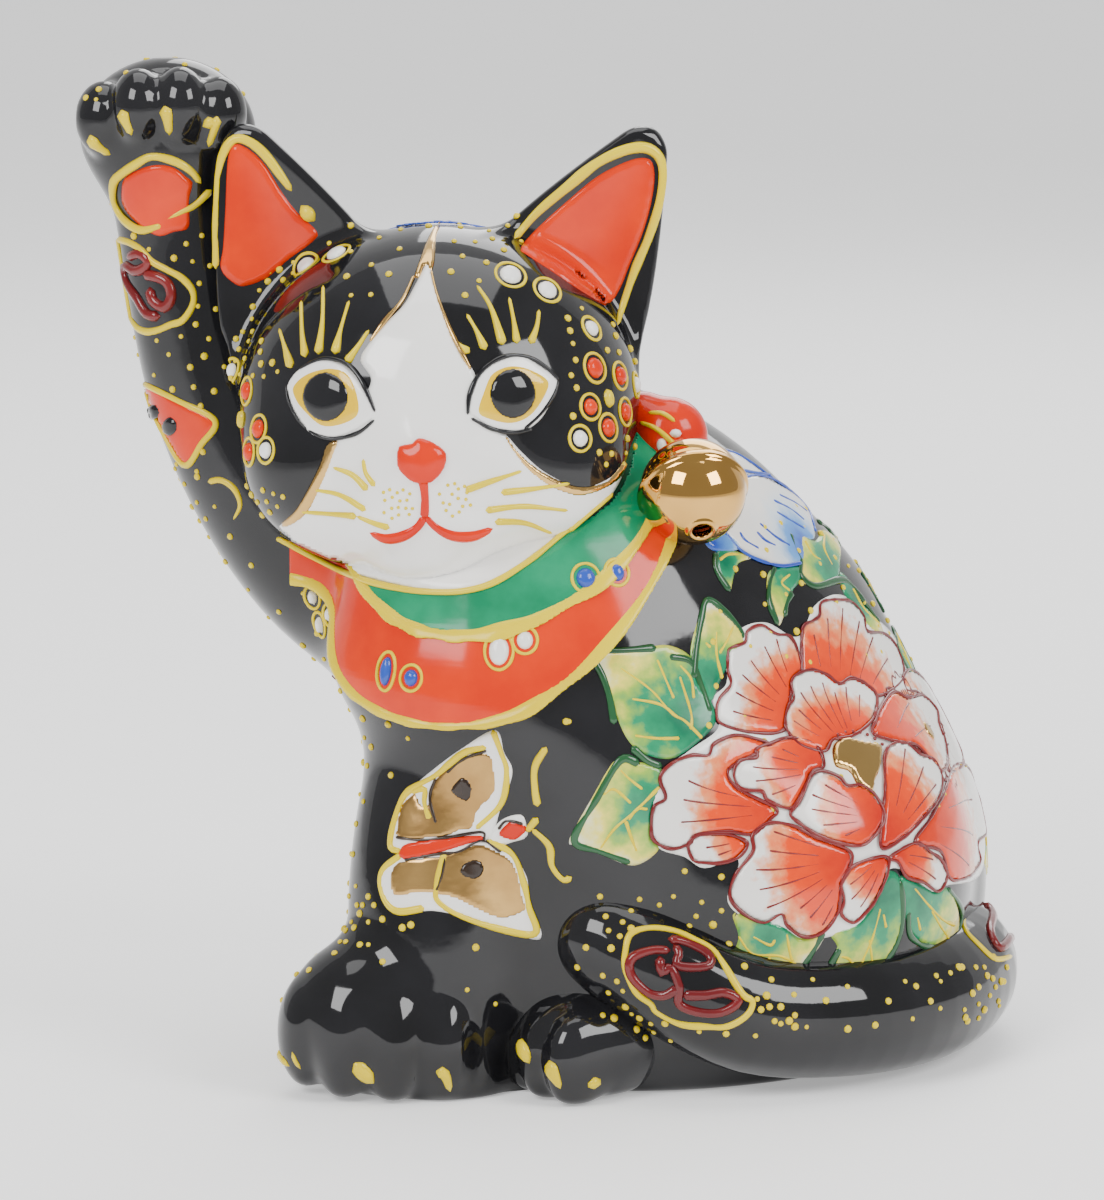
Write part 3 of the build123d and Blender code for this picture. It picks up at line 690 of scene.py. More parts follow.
def dots(sheet, view, places, field=porcelain, rise=0.55, lift=0.0):
    """Beads of enamel at drawn points of u, v and radius."""
    places = np.array(places, float)
    p, hit = view.land(places[:, :2], field)
    p, radius = p[hit], places[hit, 2]
    n = slope(field, p)
    t = np.cross(n, view.ahead + (0.01, 0.02, 0.3))
    t /= np.linalg.norm(t, axis=1, keepdims=True)
    b = np.cross(n, t)
    levels = ((-0.35, 1.0), (0.0, 1.0), (0.38, 0.9), (0.72, 0.62))
    for centre, r, nn, tt, bb in zip(p, radius, n, t, b):
        sides = 8 if r < 0.8 else 14
        angle = np.arange(sides) / sides * 2 * math.pi
        circle = np.cos(angle)[:, None] * tt + np.sin(angle)[:, None] * bb
        seat = centre + nn * lift
        rings = [seat + circle * r * out + nn * r * up * rise * 1.6 for up, out in levels]
        points = np.vstack((*rings, [seat + nn * r * rise * 1.6 * 0.9]))
        faces = []
        for level in range(len(levels) - 1):
            low, high = level * sides, (level + 1) * sides
            faces += [(low + k, low + (k + 1) % sides, high + (k + 1) % sides, high + k) for k in range(sides)]
        top, tip = (len(levels) - 1) * sides, len(levels) * sides
        faces += [(top + k, top + (k + 1) % sides, tip) for k in range(sides)]
        faces += [tuple(range(sides))[::-1]]
        sheet.add(points, faces)


def spot(centre, r, aspect=1.0, sides=14):
    """A drawn ellipse's outline."""
    a = np.arange(sides) / sides * 2 * math.pi
    return list(zip(centre[0] + np.cos(a) * r, centre[1] + np.sin(a) * r * aspect))


def scatter(outline, gap, avoid=(), count=4000):
    """Seeded places inside an outline at least a gap apart, clear of other outlines."""
    loop = smooth_path(outline, 1.0, True)[:, :2]
    tries = rng.uniform(loop.min(0), loop.max(0), (count, 2))
    ok = inside_depth(tries, loop) > 0.6
    for other in avoid:
        ok &= inside_depth(tries, smooth_path(other, 1.0, True)[:, :2]) < -0.7
    kept = []
    for q in tries[ok]:
        if all((q[0] - k[0]) ** 2 + (q[1] - k[1]) ** 2 > gap ** 2 for k in kept):
            kept.append(q)
    return [(u, v, rng.uniform(0.42, 0.72)) for u, v in kept]


def towards(centre, reach):
    """A value that is 1 at a drawn place and 0 a reach away from it."""
    return lambda q: np.clip(1 - np.hypot(q[:, 0] - centre[0], q[:, 1] - centre[1]) / reach, 0, 1)


def halves(*steps):
    """Drawn points, from their pairs in half millimetres."""
    return tuple((u / 2, v / 2) for u, v in zip(steps[::2], steps[1::2]))


def tenths(*steps):
    """Drawn points, from their pairs in tenths of a millimetre."""
    return tuple((u / 10, v / 10) for u, v in zip(steps[::2], steps[1::2]))


# --- the face, drawn from the front ----------------------------------------------------------------
FACE = tenths(-203,638, -225,592, -241,560, -263,522, -298,487, -324,454, -339,424, -320,387, -352,338,
    -395,311, -395,286, -380,283, -404,240, -427,186, -444,156, -484,131, -472,110, -435,92, -400,76, -366,61,
    -336,42, -200,14, -100,32, 17,114, 104,184, 135,251, 119,228, 81,205, 43,200, -14,227, -54,262, -81,292,
    -108,311, -135,338, -133,387, -144,414, -163,441, -181,481, -199,533, -213,582, -209,625)
COLLAR_LINE = ((-48.6, 11, 0.8), (-41, 7), (-33.6, 3.7), (-26, 1.9), (-20, 1.4), (-15, 1.7), (-10, 3.2), (-4,
    6.8), (1.7, 11.4), (7, 15.9), (10.6, 19, 0.8))
BLAZE_TIP = tenths(-188,683, -203,668, -219,642, -234,603, -244,572, -234,572, -225,595, -216,578, -208,598,
    -204,647, -186,678)
CHEEK_EDGES = (
    tenths(-379,281, -399,274, -411,240, -438,186, -457,156, -481,133, -461,132, -431,154, -413,186, -392,235),
    tenths(-81,292, -60,264, -16,227, 46,201, 98,212, 133,251, 125,223, 98,199, 46,184, -5,200, -49,234,
     -81,278),
)
BLAZE_EDGES = (((-24.4, 57.3, 0.7), (-26.5, 53, 0.8), (-29.5, 49.4, 1.1), (-32.2, 45.7, 0.6)),
               ((-21.4, 58.2, 0.5), (-20.3, 53.8, 0.6), (-18.4, 48.7, 0.8), (-16.3, 44.3, 1.1),
                (-14.4, 40.8, 0.7)))
# Each eye: its almond, its iris, its pupil's centre, the lines round it, its five lashes from tip to root
EYES = {
    "right": (tenths(-467,384, -444,411, -406,426, -368,416, -336,384, -310,333, -330,308, -379,286, -423,292,
     -452,327, -465,359), tenths(-459,378, -433,403, -390,414, -358,403, -339,370, -336,327, -368,306, -406,303,
     -436,327, -454,351), (-39.7, 35.9), (((-44.4, 40.8, 0.5), (-42, 42.1, 0.9), (-39.5, 42.7), (-36.3, 41.8),
     (-34.1, 39.5), (-32.5, 36.5, 1.1), (-31.2, 33.3, 0.6)), ((-42.9, 30, 0.6), (-40.6, 28.9), (-37.9, 28.6),
     (-34.1, 29.7), (-31.3, 31.9, 0.6)), ((-46.8, 38, 0.3), (-46.4, 35.2, 0.5), (-44.8, 32, 0.5), (-43.2, 30.2,
     0.4))), (tenths(-483,481, -474,452, -461,411), tenths(-444,530, -442,473, -436,430), tenths(-405,557,
     -406,495, -413,435), tenths(-359,530, -374,479, -384,435), tenths(-324,478, -341,452, -364,420))),
    "left": (tenths(-151,333, -144,370, -125,406, -89,427, -54,434, -22,416, 10,389, 0,354, -24,316, -60,297,
     -108,303, -139,322), tenths(-127,370, -111,403, -76,418, -38,411, -5,389, -11,359, -38,322, -76,308,
     -123,319, -137,335), (-7.2, 36.5), (((-15, 32.8, 0.7), (-14.6, 36.5, 1.2), (-12.7, 40.3), (-8.9, 42.9),
     (-4.9, 43), (-1.6, 41.4), (1, 38.9, 0.6)), ((0.9, 38.9, 0.6), (0, 36.2), (-2.2, 33), (-5.1, 30.3, 0.8)),
     ((-14.4, 32.2, 0.7), (-10.8, 30.4), (-7, 29.7), (-3.5, 30.3, 0.7))), (tenths(-181,472, -165,452, -146,438),
     tenths(-151,506, -135,479, -118,443), tenths(-133,557, -108,517, -87,452), tenths(-76,536, -68,495,
     -62,454), tenths(-23,514, -27,484, -38,454))),
}
NOSE = tenths(-274,250, -270,273, -249,277, -236,288, -209,279, -188,262, -190,235, -206,213, -225,205,
    -249,210, -270,229)
MOUTH = (((-22.9, 21.8, 1), (-22.5, 18.6, 0.8), (-22.5, 16.4, 0.85), (-22.6, 14.4, 0.9)),
         ((-22.5, 15.1, 0.7), (-23.8, 13.1, 0.9), (-26.3, 11.6, 1.3), (-29.3, 11.1, 1.2), (-32.2, 12.1, 0.5)),
         ((-22.5, 15.1, 0.7), (-20.6, 13.1, 0.9), (-17.6, 11.6, 1.2), (-14.1, 11.5, 1.2), (-10.6, 12.8, 0.6)))
WHISKERS = {
    "right": (tenths(-387,235, -352,221, -325,194), tenths(-333,250, -328,224, -312,201), tenths(-420,196,
     -374,186, -328,159), tenths(-444,158, -395,154, -344,149), tenths(-344,149, -314,137, -287,129)),
    "left": (tenths(-54,229, -108,210, -154,194), tenths(30,207, -38,197, -92,190), tenths(27,160, -49,167,
     -119,159), tenths(0,120, -49,138, -103,140)),
}
# Each cheek's blossom: its orange petals, its yellow heart, and the white beads about it
BLOSSOMS = {
    "right": (((-54.1, 37, 0.9, 1.8), (-56.5, 34.2, 0.7, 1.7), (-52, 30.3, 1.1, 1.8), (-56.2, 28.1, 0.7, 1.5),
               (-53.7, 26.2, 1, 1.8)), (-54.9, 32), ((-56.7, 40.6, 0.7, 1.5), (-50.7, 26.5, 1, 1.6))),
    "left": (((7.6, 41.1, 1.5, 2.0), (12.1, 39.7, 1.2, 1.8), (6.8, 34.2, 1.3, 1.6), (13, 33.3, 1, 1.8),
              (10, 30.5, 1.2, 1.8)), (10, 35.7),
             ((7, 48.1, 1.4, 1.6), (5, 28.6, 1.4, 1.6), (14.9, 38.1, 0.6, 1.6))),
}
FOREHEAD_BEADS = ((-43.6, 59.2, 1.5, 1.9), (-38.2, 61.4, 1.9, 2.0), (-7.3, 57.6, 2.1, 1.6),
                  (-0.8, 54.9, 1.9, 1.6))
EAR_LININGS = {
    "right": (tenths(-561,808, -534,796, -507,769, -477,720, -450,685, -416,652, -423,635, -466,603, -504,571,
     -542,556, -562,560, -586,586, -582,625, -578,695, -576,750, -572,790), ((-59.5, 58.6), (-59.5, 66.8),
     (-59.1, 75), (-58.1, 79.3), (-56.2, 81.6, 0.9), (-53.6, 81.1, 0.9), (-50.9, 78.9), (-48.3, 75.5), (-46.1,
     72.4, 0.6))),
    "left": (tenths(-57,622, -27,657, 27,706, 81,750, 135,777, 168,782, 180,766, 179,722, 163,657, 135,587,
     119,549, 98,525, 54,546, 0,582, -49,614), ((-6.6, 64, 0.8), (-2.7, 68.5, 0.9), (2.7, 73.1), (8.1, 77.4),
     (13.5, 79.8), (17.3, 79.8), (19.5, 77.1, 0.9), (19.2, 71.2, 0.9), (17.3, 64.7, 0.9), (14.6, 58.2, 0.8),
     (12.4, 51.7, 0.7), (11.6, 48.7, 0.4))),
}


def build_face():
    white, collar, gilt, red, freckles = sheets(5)
    patch(white, FRONT, FACE, 0.35, field=face_ground, cell=0.5)
    stroke(collar, FRONT, COLLAR_LINE, 1.15, rise=0.4, field=face_ground, lift=0.25)
    fire((white, "face_white_enamel", WHITE, "face_white"), (collar, "collar_line", YELLOW, "collar_trim"))
    for outline in (BLAZE_TIP, *CHEEK_EDGES):
        patch(gilt, FRONT, outline, 0.4, lift=0.12, field=head, cell=0.3)
    for line in BLAZE_EDGES:
        stroke(gilt, FRONT, line, 0.8, field=head, lift=0.2)
    fire((gilt, "face_gilding", GOLD))

    for side, (almond, iris, pupil, lids, lashes) in EYES.items():
        sclera, colour, black, yellow = sheets(4)
        patch(sclera, FRONT, almond, 0.55, lift=0.12, rim=1.4, field=head, cell=0.35)
        patch(colour, FRONT, iris, 0.55, lift=0.3, rim=2.2, field=head, cell=0.3, tone=towards(pupil, 10.0))
        patch(black, FRONT, spot(pupil, 4.15, 1.08), 1.3, lift=0.45, rim=3.6, field=head, cell=0.25)
        for line in lids:
            stroke(black, FRONT, line, 0.75, field=head, lift=0.45)
        for tip, middle, root in lashes:
            stroke(yellow, FRONT, ((*tip, 0.55), (*middle, 0.7), (*root, 1.55)), 1.15, rise=0.55, field=head)
        fire((sclera, f"sclera_{side}", WHITE), (colour, f"iris_{side}", IRIS, f"eye_{side}"),
             (black, f"eye_black_{side}", BLACK, f"pupil_{side}"),
             (yellow, f"lash_lines_{side}", YELLOW, f"lashes_{side}"))

    patch(red, FRONT, NOSE, 1.3, lift=0.3, rim=3.4, field=head, cell=0.3)
    for line in MOUTH:
        stroke(red, FRONT, line, 1.75, rise=0.35, field=head, lift=0.3)
    fire((red, "nose_and_mouth", RED, "nose"))

    for side, lines in WHISKERS.items():
        yellow = Sheet()
        for tip, middle, root in lines:
            path = ((*tip, 0.55), (*middle, 0.9), (*root, 1.15))
            stroke(yellow, FRONT, path, 1.1, rise=0.5, field=head, lift=0.3)
        fire((yellow, f"whisker_lines_{side}", YELLOW, f"whiskers_{side}"))

    for middle in ((-27.5, 17.2), (-17.2, 17.8)):
        places = scatter(spot(middle, 3.6), 1.15, count=900)
        dots(freckles, FRONT, [(u, v, 0.34) for u, v, _ in places], field=head, lift=0.3)
    fire((freckles, "freckles", YELLOW))


RING_GAP = 0.75  # from a bead's edge to the middle of its ring
RING_WIDTH = 0.6


def ringed(beads, rings, places, field, rise=0.55, even=False, lean=0.0):
    """Beads of enamel with piped yellow rings, placed from the front: each is u, v and its radii across and up.
    Even beads are round, and a lean turns them from the glaze under them towards the front."""
    landed, hit = FRONT.land(np.array(places, float)[:, :2], field)
    for (_, _, a, b), place, normal, there in zip(places, landed, slope(field, landed), hit):
        if not there:
            continue
        facing = normal * (1 - lean) - FRONT.ahead * lean
        local = square_on(place, facing / np.linalg.norm(facing))
        if even:
            a = b = max(a, b) * 0.92
        patch(beads, local, spot((0, 0), a, b / a), 0.9, rim=min(a, b), cell=0.26, field=field)
        ring = spot((0, 0), a + RING_GAP, (b + RING_GAP) / (a + RING_GAP), sides=9)
        stroke(rings, local, ring, RING_WIDTH, rise, True, field)


def build_blossoms():
    for side, (petals, heart, beads) in BLOSSOMS.items():
        orange, yellow, white, rings = sheets(4)
        ringed(orange, rings, petals, head, even=True, lean=0.3)
        place, _ = FRONT.land([heart], head)
        local = square_on(place[0], slope(head, place)[0])
        patch(yellow, local, spot((0, 0), 1.2, 1.4), 0.9, rim=1.2, cell=0.26, field=head)
        ringed(white, rings, beads, head, even=True, lean=0.3)
        fire((orange, f"blossom_petals_{side}", ORANGE, f"cheek_blossom_{side}"),
             (yellow, f"blossom_heart_{side}", YELLOW), (white, f"cheek_beads_{side}", WHITE),
             (rings, f"blossom_rings_{side}", YELLOW))
    white, rings = sheets(2)
    ringed(white, rings, FOREHEAD_BEADS, head, rise=0.4, even=True, lean=0.65)
    fire((white, "forehead_white_beads", WHITE, "forehead_beads"), (rings, "forehead_rings", YELLOW))


def build_ears():
    for side, (lining, line) in EAR_LININGS.items():
        orange, yellow = sheets(2)
        patch(orange, FRONT, lining, 0.55, field=head, cell=0.5)
        stroke(yellow, FRONT, line, 1.9, rise=0.35, field=head)
        if side == "right":
            tail_end = ((-44.4, 69.8, 0.8), (-43.2, 68.3, 1.5), (-42, 67.1))
            stroke(yellow, FRONT, tail_end, 1.9, rise=0.4, field=head)
        fire((orange, f"ear_enamel_{side}", ORANGE, f"ear_{side}_lining"), (yellow, f"ear_line_{side}", YELLOW))


# --- the raised paw and arm ------------------------------------------------------------------------
RAISED_CLAWS = (((-81.7, 82.3, 1.1), (-81.1, 80.9, 1.3), (-79.7, 79.8, 0.8), (-78.2, 78.8, 0.9)),
                ((-76.2, 86.7, 1.6), (-75.5, 84.7), (-74.4, 82.3, 0.7)),
                ((-68.6, 87.4, 1.7), (-68.1, 85.4, 1.1), (-67.7, 82.3, 0.7)),
                ((-59.3, 85.6, 1.3), (-59.7, 83.6, 0.8), (-60.8, 80.2, 0.6)),
                ((-61.8, 83.8, 0.8), (-59.6, 85, 1.3)))
PAW_DOTS = ((-82.5, 88.9, 0.6), (-80.2, 90.4, 0.6), (-80.7, 88.6, 0.4), (-71.8, 96, 0.6), (-65, 94.8, 0.55))
PAD = tenths(-762,724, -756,747, -726,764, -697,770, -669,765, -645,747, -636,738, -643,706, -643,660, -669,652,
    -694,644, -719,655, -744,676, -760,699)
PAD_LINES = (((-62.2, 73.8, 0.8), (-64, 76, 0.9), (-66.9, 77.7), (-70.8, 78.5), (-73.7, 77.1, 1.1),
              (-76.6, 75.1, 1.1), (-77.5, 73.8, 1.2), (-77.5, 70.9), (-76.2, 68.1, 1.1), (-74.4, 66.3, 1.1),
              (-72.3, 65.5), (-68.8, 66.4, 0.7)),
             ((-68.5, 67.2, 0.3), (-65.4, 68.8, 0.7), (-63.2, 69.9, 0.8), (-60.4, 72.6, 1.1)),
             ((-66.4, 72.1, 0.3), (-63.9, 73.5, 0.5)))
ARM_LOOP = tenths(-775,634, -752,634, -726,619, -708,599, -679,583, -654,569, -636,547, -636,522, -654,495,
    -676,487, -697,478, -719,475, -737,485, -752,514, -762,547, -772,594)
# A free swirl in place of the crest
ARM_SWIRL = (
    tenths(-753,605, -730,613, -714,596, -736,582, -756,592, -752,562, -734,534, -716,506, -693,502),
    tenths(-724,576, -700,572, -680,560, -674,536, -686,518, -706,530, -712,554),
)
ARM_FAN = tenths(-729,386, -660,352, -596,317, -620,276, -650,239, -690,300)
ARM_FAN_BLOBS = ((-67.4, 30.8, 1.4), (-70.3, 33.3, 1.2))
ARM_ARC = ((-60.9, 20.9), (-58.6, 21.2), (-56.2, 19.6), (-55.2, 16.8, 0.8), (-56.4, 14.2, 0.4))
ARM_FIELD = halves(-156,128, -124,132, -116,116, -114,96, -115,80, -120,60, -124,40, -120,20, -108,4, -124,12,
    -140,32, -148,56, -152,84, -156,104)


def build_raised_paw():
    yellow, orange, maroon, fan, trim, blobs = sheets(6)
    for line in RAISED_CLAWS:
        stroke(yellow, FRONT, line, 1.9, rise=0.4, field=body)
    dots(yellow, FRONT, PAW_DOTS, field=body)
    patch(orange, FRONT, PAD, 0.45, field=body)
    for line in PAD_LINES:
        stroke(trim, FRONT, line, 1.5, rise=0.4, field=body, lift=0.2)
    stroke(trim, FRONT, ARM_LOOP, 1.3, 0.4, True, body)
    stroke(trim, FRONT, (*ARM_FAN, ARM_FAN[0]), 1.2, rise=0.4, field=body, lift=0.1)
    stroke(trim, FRONT, ARM_ARC, 1.2, rise=0.4, field=body)
    dots(trim, FRONT, scatter(ARM_FIELD, 3.1, (ARM_LOOP, ARM_FAN, PAD)), field=body)
    for line in ARM_SWIRL:
        stroke(maroon, FRONT, line, 1.9, rise=0.45, field=body)
    patch(fan, FRONT, ARM_FAN, 0.35, field=body)
    for u, v, r in ARM_FAN_BLOBS:
        patch(blobs, FRONT, spot((u, v), r, 1.3), 0.8, lift=0.25, rim=r, cell=0.3, field=body)
    fire((yellow, "raised_claw_lines", YELLOW, "raised_paw_claws"), (orange, "pad_enamel", ORANGE, "paw_pad"),
         (trim, "arm_lines", YELLOW), (maroon, "arm_swirl", MAROON, "arm_crest"),
         (fan, "arm_fan_enamel", ORANGE, "arm_fan"), (blobs, "arm_fan_blobs", BLACK))


# --- the scarf and the bell ------------------------------------------------------------------------
SCARF_EDGE = ((-20, -42, 81), (-0.21, -0.83, 1))
BIB_HEM = ((-22.7, -42, 67), (-0.39, -0.99, 1))
BAND_WIDTH = 4.8
CLOTH = 1.5
SHOULDER_X = -46.0


def above(p, plane, offset=0.0):
    """Distance above a plane, given by a place and a direction."""
    place, direction = plane
    direction = np.array(direction, float)
    return (p - at(*place)) @ (direction / np.linalg.norm(direction)) - offset


def neck(p):
    """What the scarf is wrapped round."""
    return blend(trunk(p), raised_leg(p), 7)


def wrapped(p, low, high, thick, soft):
    """A shell on the neck between two heights, rounded at its edges, up to the raised arm and the head."""
    d = neck(p)
    shell = cut(d - thick, cut(low, high, soft), soft)
    shell = np.maximum(shell, -(d + 0.7))
    return np.maximum(np.maximum(shell, at(SHOULDER_X, 0, 0)[0] - p[:, 0]), -skull(p) - 0.15)


def band(p):
    return wrapped(p, -above(p, SCARF_EDGE), above(p, SCARF_EDGE, BAND_WIDTH), CLOTH, 0.4)


def bib(p):
    return wrapped(p, -above(p, BIB_HEM), above(p, SCARF_EDGE), CLOTH, 0.4)


def trim_of(plane):
    """The raised cord that wavers along a plane on the scarf."""
    def trim(p):
        waver = 0.16 * np.sin(p[:, 0] * 0.31 + p[:, 1] * 0.2) + 0.07 * np.sin(p[:, 0] * 0.8 - p[:, 1] * 0.5)
        near = above(p, plane)
        half = 0.62 + waver * 0.8
        return wrapped(p, -near - half, near - half, CLOTH + 0.5 + waver * 0.5, 0.7)
    return trim


def scarfed(p):
    """The glaze with the scarf on it."""
    cloth = wrapped(p, -above(p, BIB_HEM), above(p, SCARF_EDGE, BAND_WIDTH), CLOTH, 0.4)
    return np.minimum(neck(p), cloth)


def face_ground(p):
    """The head and the scarfed neck under it."""
    return np.minimum(head(p), scarfed(p))


BIB_WHITE = ((-42.4, 0.5, 0.9, 1.4), (-39.4, -2.6, 0.9, 1.3), (-41.1, -4.4, 0.8, 1.6), (-9.4, -9, 1.7, 2.5),
             (-4.8, -7.1, 1.4, 1.6))
BIB_BLUE = ((-29.4, -12.6, 1.1, 2.6), (-25, -13.8, 1.3, 1.5), (6, 3.9, 1.7, 1.8), (11.5, 4.9, 1.4, 1.6))
BELL_FACING = np.array((0.15, -0.75, -0.6)) / np.linalg.norm((0.15, -0.75, -0.6))


def bell(p):
    q = p - BELL
    r = np.linalg.norm(q, axis=1)
    ball = np.abs(r - BELL_R + 0.5) - 0.5
    axis = q @ BELL_FACING
    out = np.sqrt(np.maximum(r ** 2 - axis ** 2, 0))
    girdle = np.hypot(out - BELL_R + 0.1, axis) - 0.62
    lip = np.hypot(out - 2.1, axis - BELL_R + 0.25) - 0.42
    holed = cut(ball, 1.9 - np.where(axis > 0, out, 99), 0.3)
    return blend(blend(holed, girdle, 0.8), lip, 0.6)


def build_scarf():
    low = np.minimum.reduce([corners(n)[0] for n in ("bib", "neckband", "bib_trim")]) - 4
    high = np.maximum.reduce([corners(n)[1] for n in ("bib", "neckband", "collar_trim")]) + 4
    sculpt("band_enamel", band, low, high, 0.5, GREEN, ("neckband",))
    sculpt("bib_enamel", bib, low, high, 0.55, ORANGE, ("bib",))
    for name, plane in (("scarf_trim", SCARF_EDGE), ("bib_trim", BIB_HEM)):
        sculpt(f"{name}_line", trim_of(plane), low, high, 0.4, YELLOW, (name,))
    white, blue, rings = sheets(3)
    ringed(white, rings, BIB_WHITE, scarfed)
    ringed(blue, rings, BIB_BLUE, scarfed)
    fire((white, "bib_white_beads", WHITE, "white_beads"), (blue, "bib_blue_beads", BLUE, "blue_beads"),
         (rings, "bib_rings", YELLOW))
    sculpt("bell_brass", bell, BELL - BELL_R - 1.5, BELL + BELL_R + 1.5, 0.3, MIRROR, ("bell",))


KNOT_BEADS = ((19.4, 27.4, 0.9, 1.3), (21.9, 29.5, 1.1, 0.8), (17.6, 25, 0.7, 0.8))
KNOT_LINES = (((15.5, 31.5, 0.6), (18.3, 30.4), (21.2, 28), (23.4, 25.6, 0.6)),
              ((15.8, 28, 0.5), (17.6, 25.6), (20.6, 23.5), (22.2, 23.8, 0.5)),
              ((17, 33.2, 0.5), (19.6, 33), (21.8, 31.6, 0.7)))


def build_knot_enamel():
    white, yellow = sheets(2)
    for u, v, a, b in KNOT_BEADS:
        patch(white, FRONT, spot((u, v), a, b / a), 0.8, rim=min(a, b), cell=0.26, field=knot)
    for line in KNOT_LINES:
        stroke(yellow, FRONT, line, 1.0, field=knot)
    fire((white, "knot_beads", WHITE), (yellow, "knot_lines", YELLOW))


# --- the flank's flowers, the butterfly and the tail -----------------------------------------------
def turned(drawn):
    """Points drawn from the front, redrawn as they are seen from beside the flank."""
    drawn = np.array(drawn, float)
    uv = FLANK.seen(FRONT.land(drawn[:, :2], body)[0])
    return np.hstack((uv, drawn[:, 2:]))


# The peony's petals from the outside in: where each springs from, and its outline
PEONY = (
    ((47, -23), halves(71,-47, 60,-44, 58,-40, 59,-35, 63,-30, 62,-25, 62,-19, 63,-17, 68,-15, 69,-11, 74,-9,
     79,-12, 84,-13, 87,-19, 88,-25, 85,-28, 84,-35, 82,-46)),
    ((52.5, -24), halves(89,-28, 88,-19, 88,-13, 89,-9, 94,-6, 95,-1, 101,0, 106,-1, 110,-6, 111,-11, 117,-12,
     121,-16, 124,-24, 123,-29, 116,-34, 105,-33, 96,-29)),
    ((54.5, -30.5), halves(124,-27, 127,-25, 133,-30, 137,-35, 141,-42, 144,-49, 145,-58, 140,-61, 139,-52,
     137,-44, 134,-38, 129,-33, 125,-32)),
    ((59.5, -39), halves(140,-62, 144,-58, 148,-61, 151,-67, 154,-75, 154,-82, 150,-86, 151,-92, 149,-96,
     144,-99, 140,-98, 137,-89, 128,-86, 133,-78, 137,-71)),
    ((43, -37.5), halves(66,-67, 62,-61, 67,-57, 77,-52, 71,-49, 64,-48, 57,-51, 55,-55, 49,-55, 42,-58, 38,-63,
     40,-70, 36,-73, 35,-80, 36,-85, 42,-88, 49,-86, 51,-83, 62,-82, 71,-83, 77,-78, 79,-74)),
    ((38.5, -41.5), halves(48,-87, 50,-84, 54,-83, 62,-83, 69,-86, 66,-91, 60,-93, 54,-93, 50,-92)),
    ((59, -44.5), halves(119,-91, 128,-86, 133,-89, 137,-92, 139,-98, 136,-103, 131,-100, 125,-98, 122,-93)),
    ((53, -46), halves(63,-105, 65,-97, 71,-89, 71,-83, 77,-79, 85,-80, 93,-84, 105,-89, 105,-95, 102,-101,
     101,-110, 96,-117, 89,-119, 83,-115, 81,-111, 75,-114, 68,-111)),
    ((59, -44.5), halves(102,-111, 103,-106, 102,-100, 105,-95, 111,-92, 118,-91, 118,-97, 114,-106, 110,-111,
     106,-114)),
    ((48.5, -30.5), halves(66,-57, 72,-56, 72,-53, 77,-51, 84,-49, 93,-52, 96,-59, 92,-61, 90,-65, 88,-69,
     84,-74, 76,-71, 74,-68, 67,-67, 64,-62)),
    ((53.5, -28.5), halves(83,-47, 82,-43, 83,-38, 85,-35, 84,-29, 87,-26, 92,-25, 97,-27, 101,-30, 105,-28,
     110,-30, 114,-34, 114,-40, 111,-45, 105,-49, 99,-50, 96,-54, 88,-52)),
    ((55, -29.5), halves(113,-48, 114,-43, 116,-38, 120,-33, 125,-35, 130,-34, 135,-39, 136,-45, 138,-50,
     139,-57, 137,-61, 133,-57, 128,-52, 122,-51)),
    ((58, -43), halves(117,-62, 117,-56, 119,-52, 124,-51, 129,-55, 134,-57, 137,-63, 136,-70, 130,-78, 124,-84,
     116,-88, 116,-78, 117,-69)),
    ((58, -39), halves(89,-68, 91,-63, 95,-61, 101,-63, 104,-66, 109,-66, 114,-70, 117,-77, 114,-83, 109,-87,
     101,-86, 93,-83, 87,-79, 84,-76, 87,-72)),
)
HEART = halves(99,-52, 103,-49, 109,-50, 116,-52, 116,-59, 114,-65, 113,-69, 108,-66, 105,-61, 100,-59)
GROUND = halves(34,-81, 37,-63, 49,-53, 59,-45, 57,-35, 62,-29, 61,-18, 67,-10, 76,-8, 87,-13, 93,-2, 101,2,
    109,-2, 124,-16, 129,-23, 144,-43, 154,-69, 155,-83, 151,-98, 140,-101, 135,-104, 120,-95, 110,-114,
    99,-119, 89,-120, 80,-116, 69,-113, 62,-106, 66,-92, 54,-95, 47,-91, 38,-88)
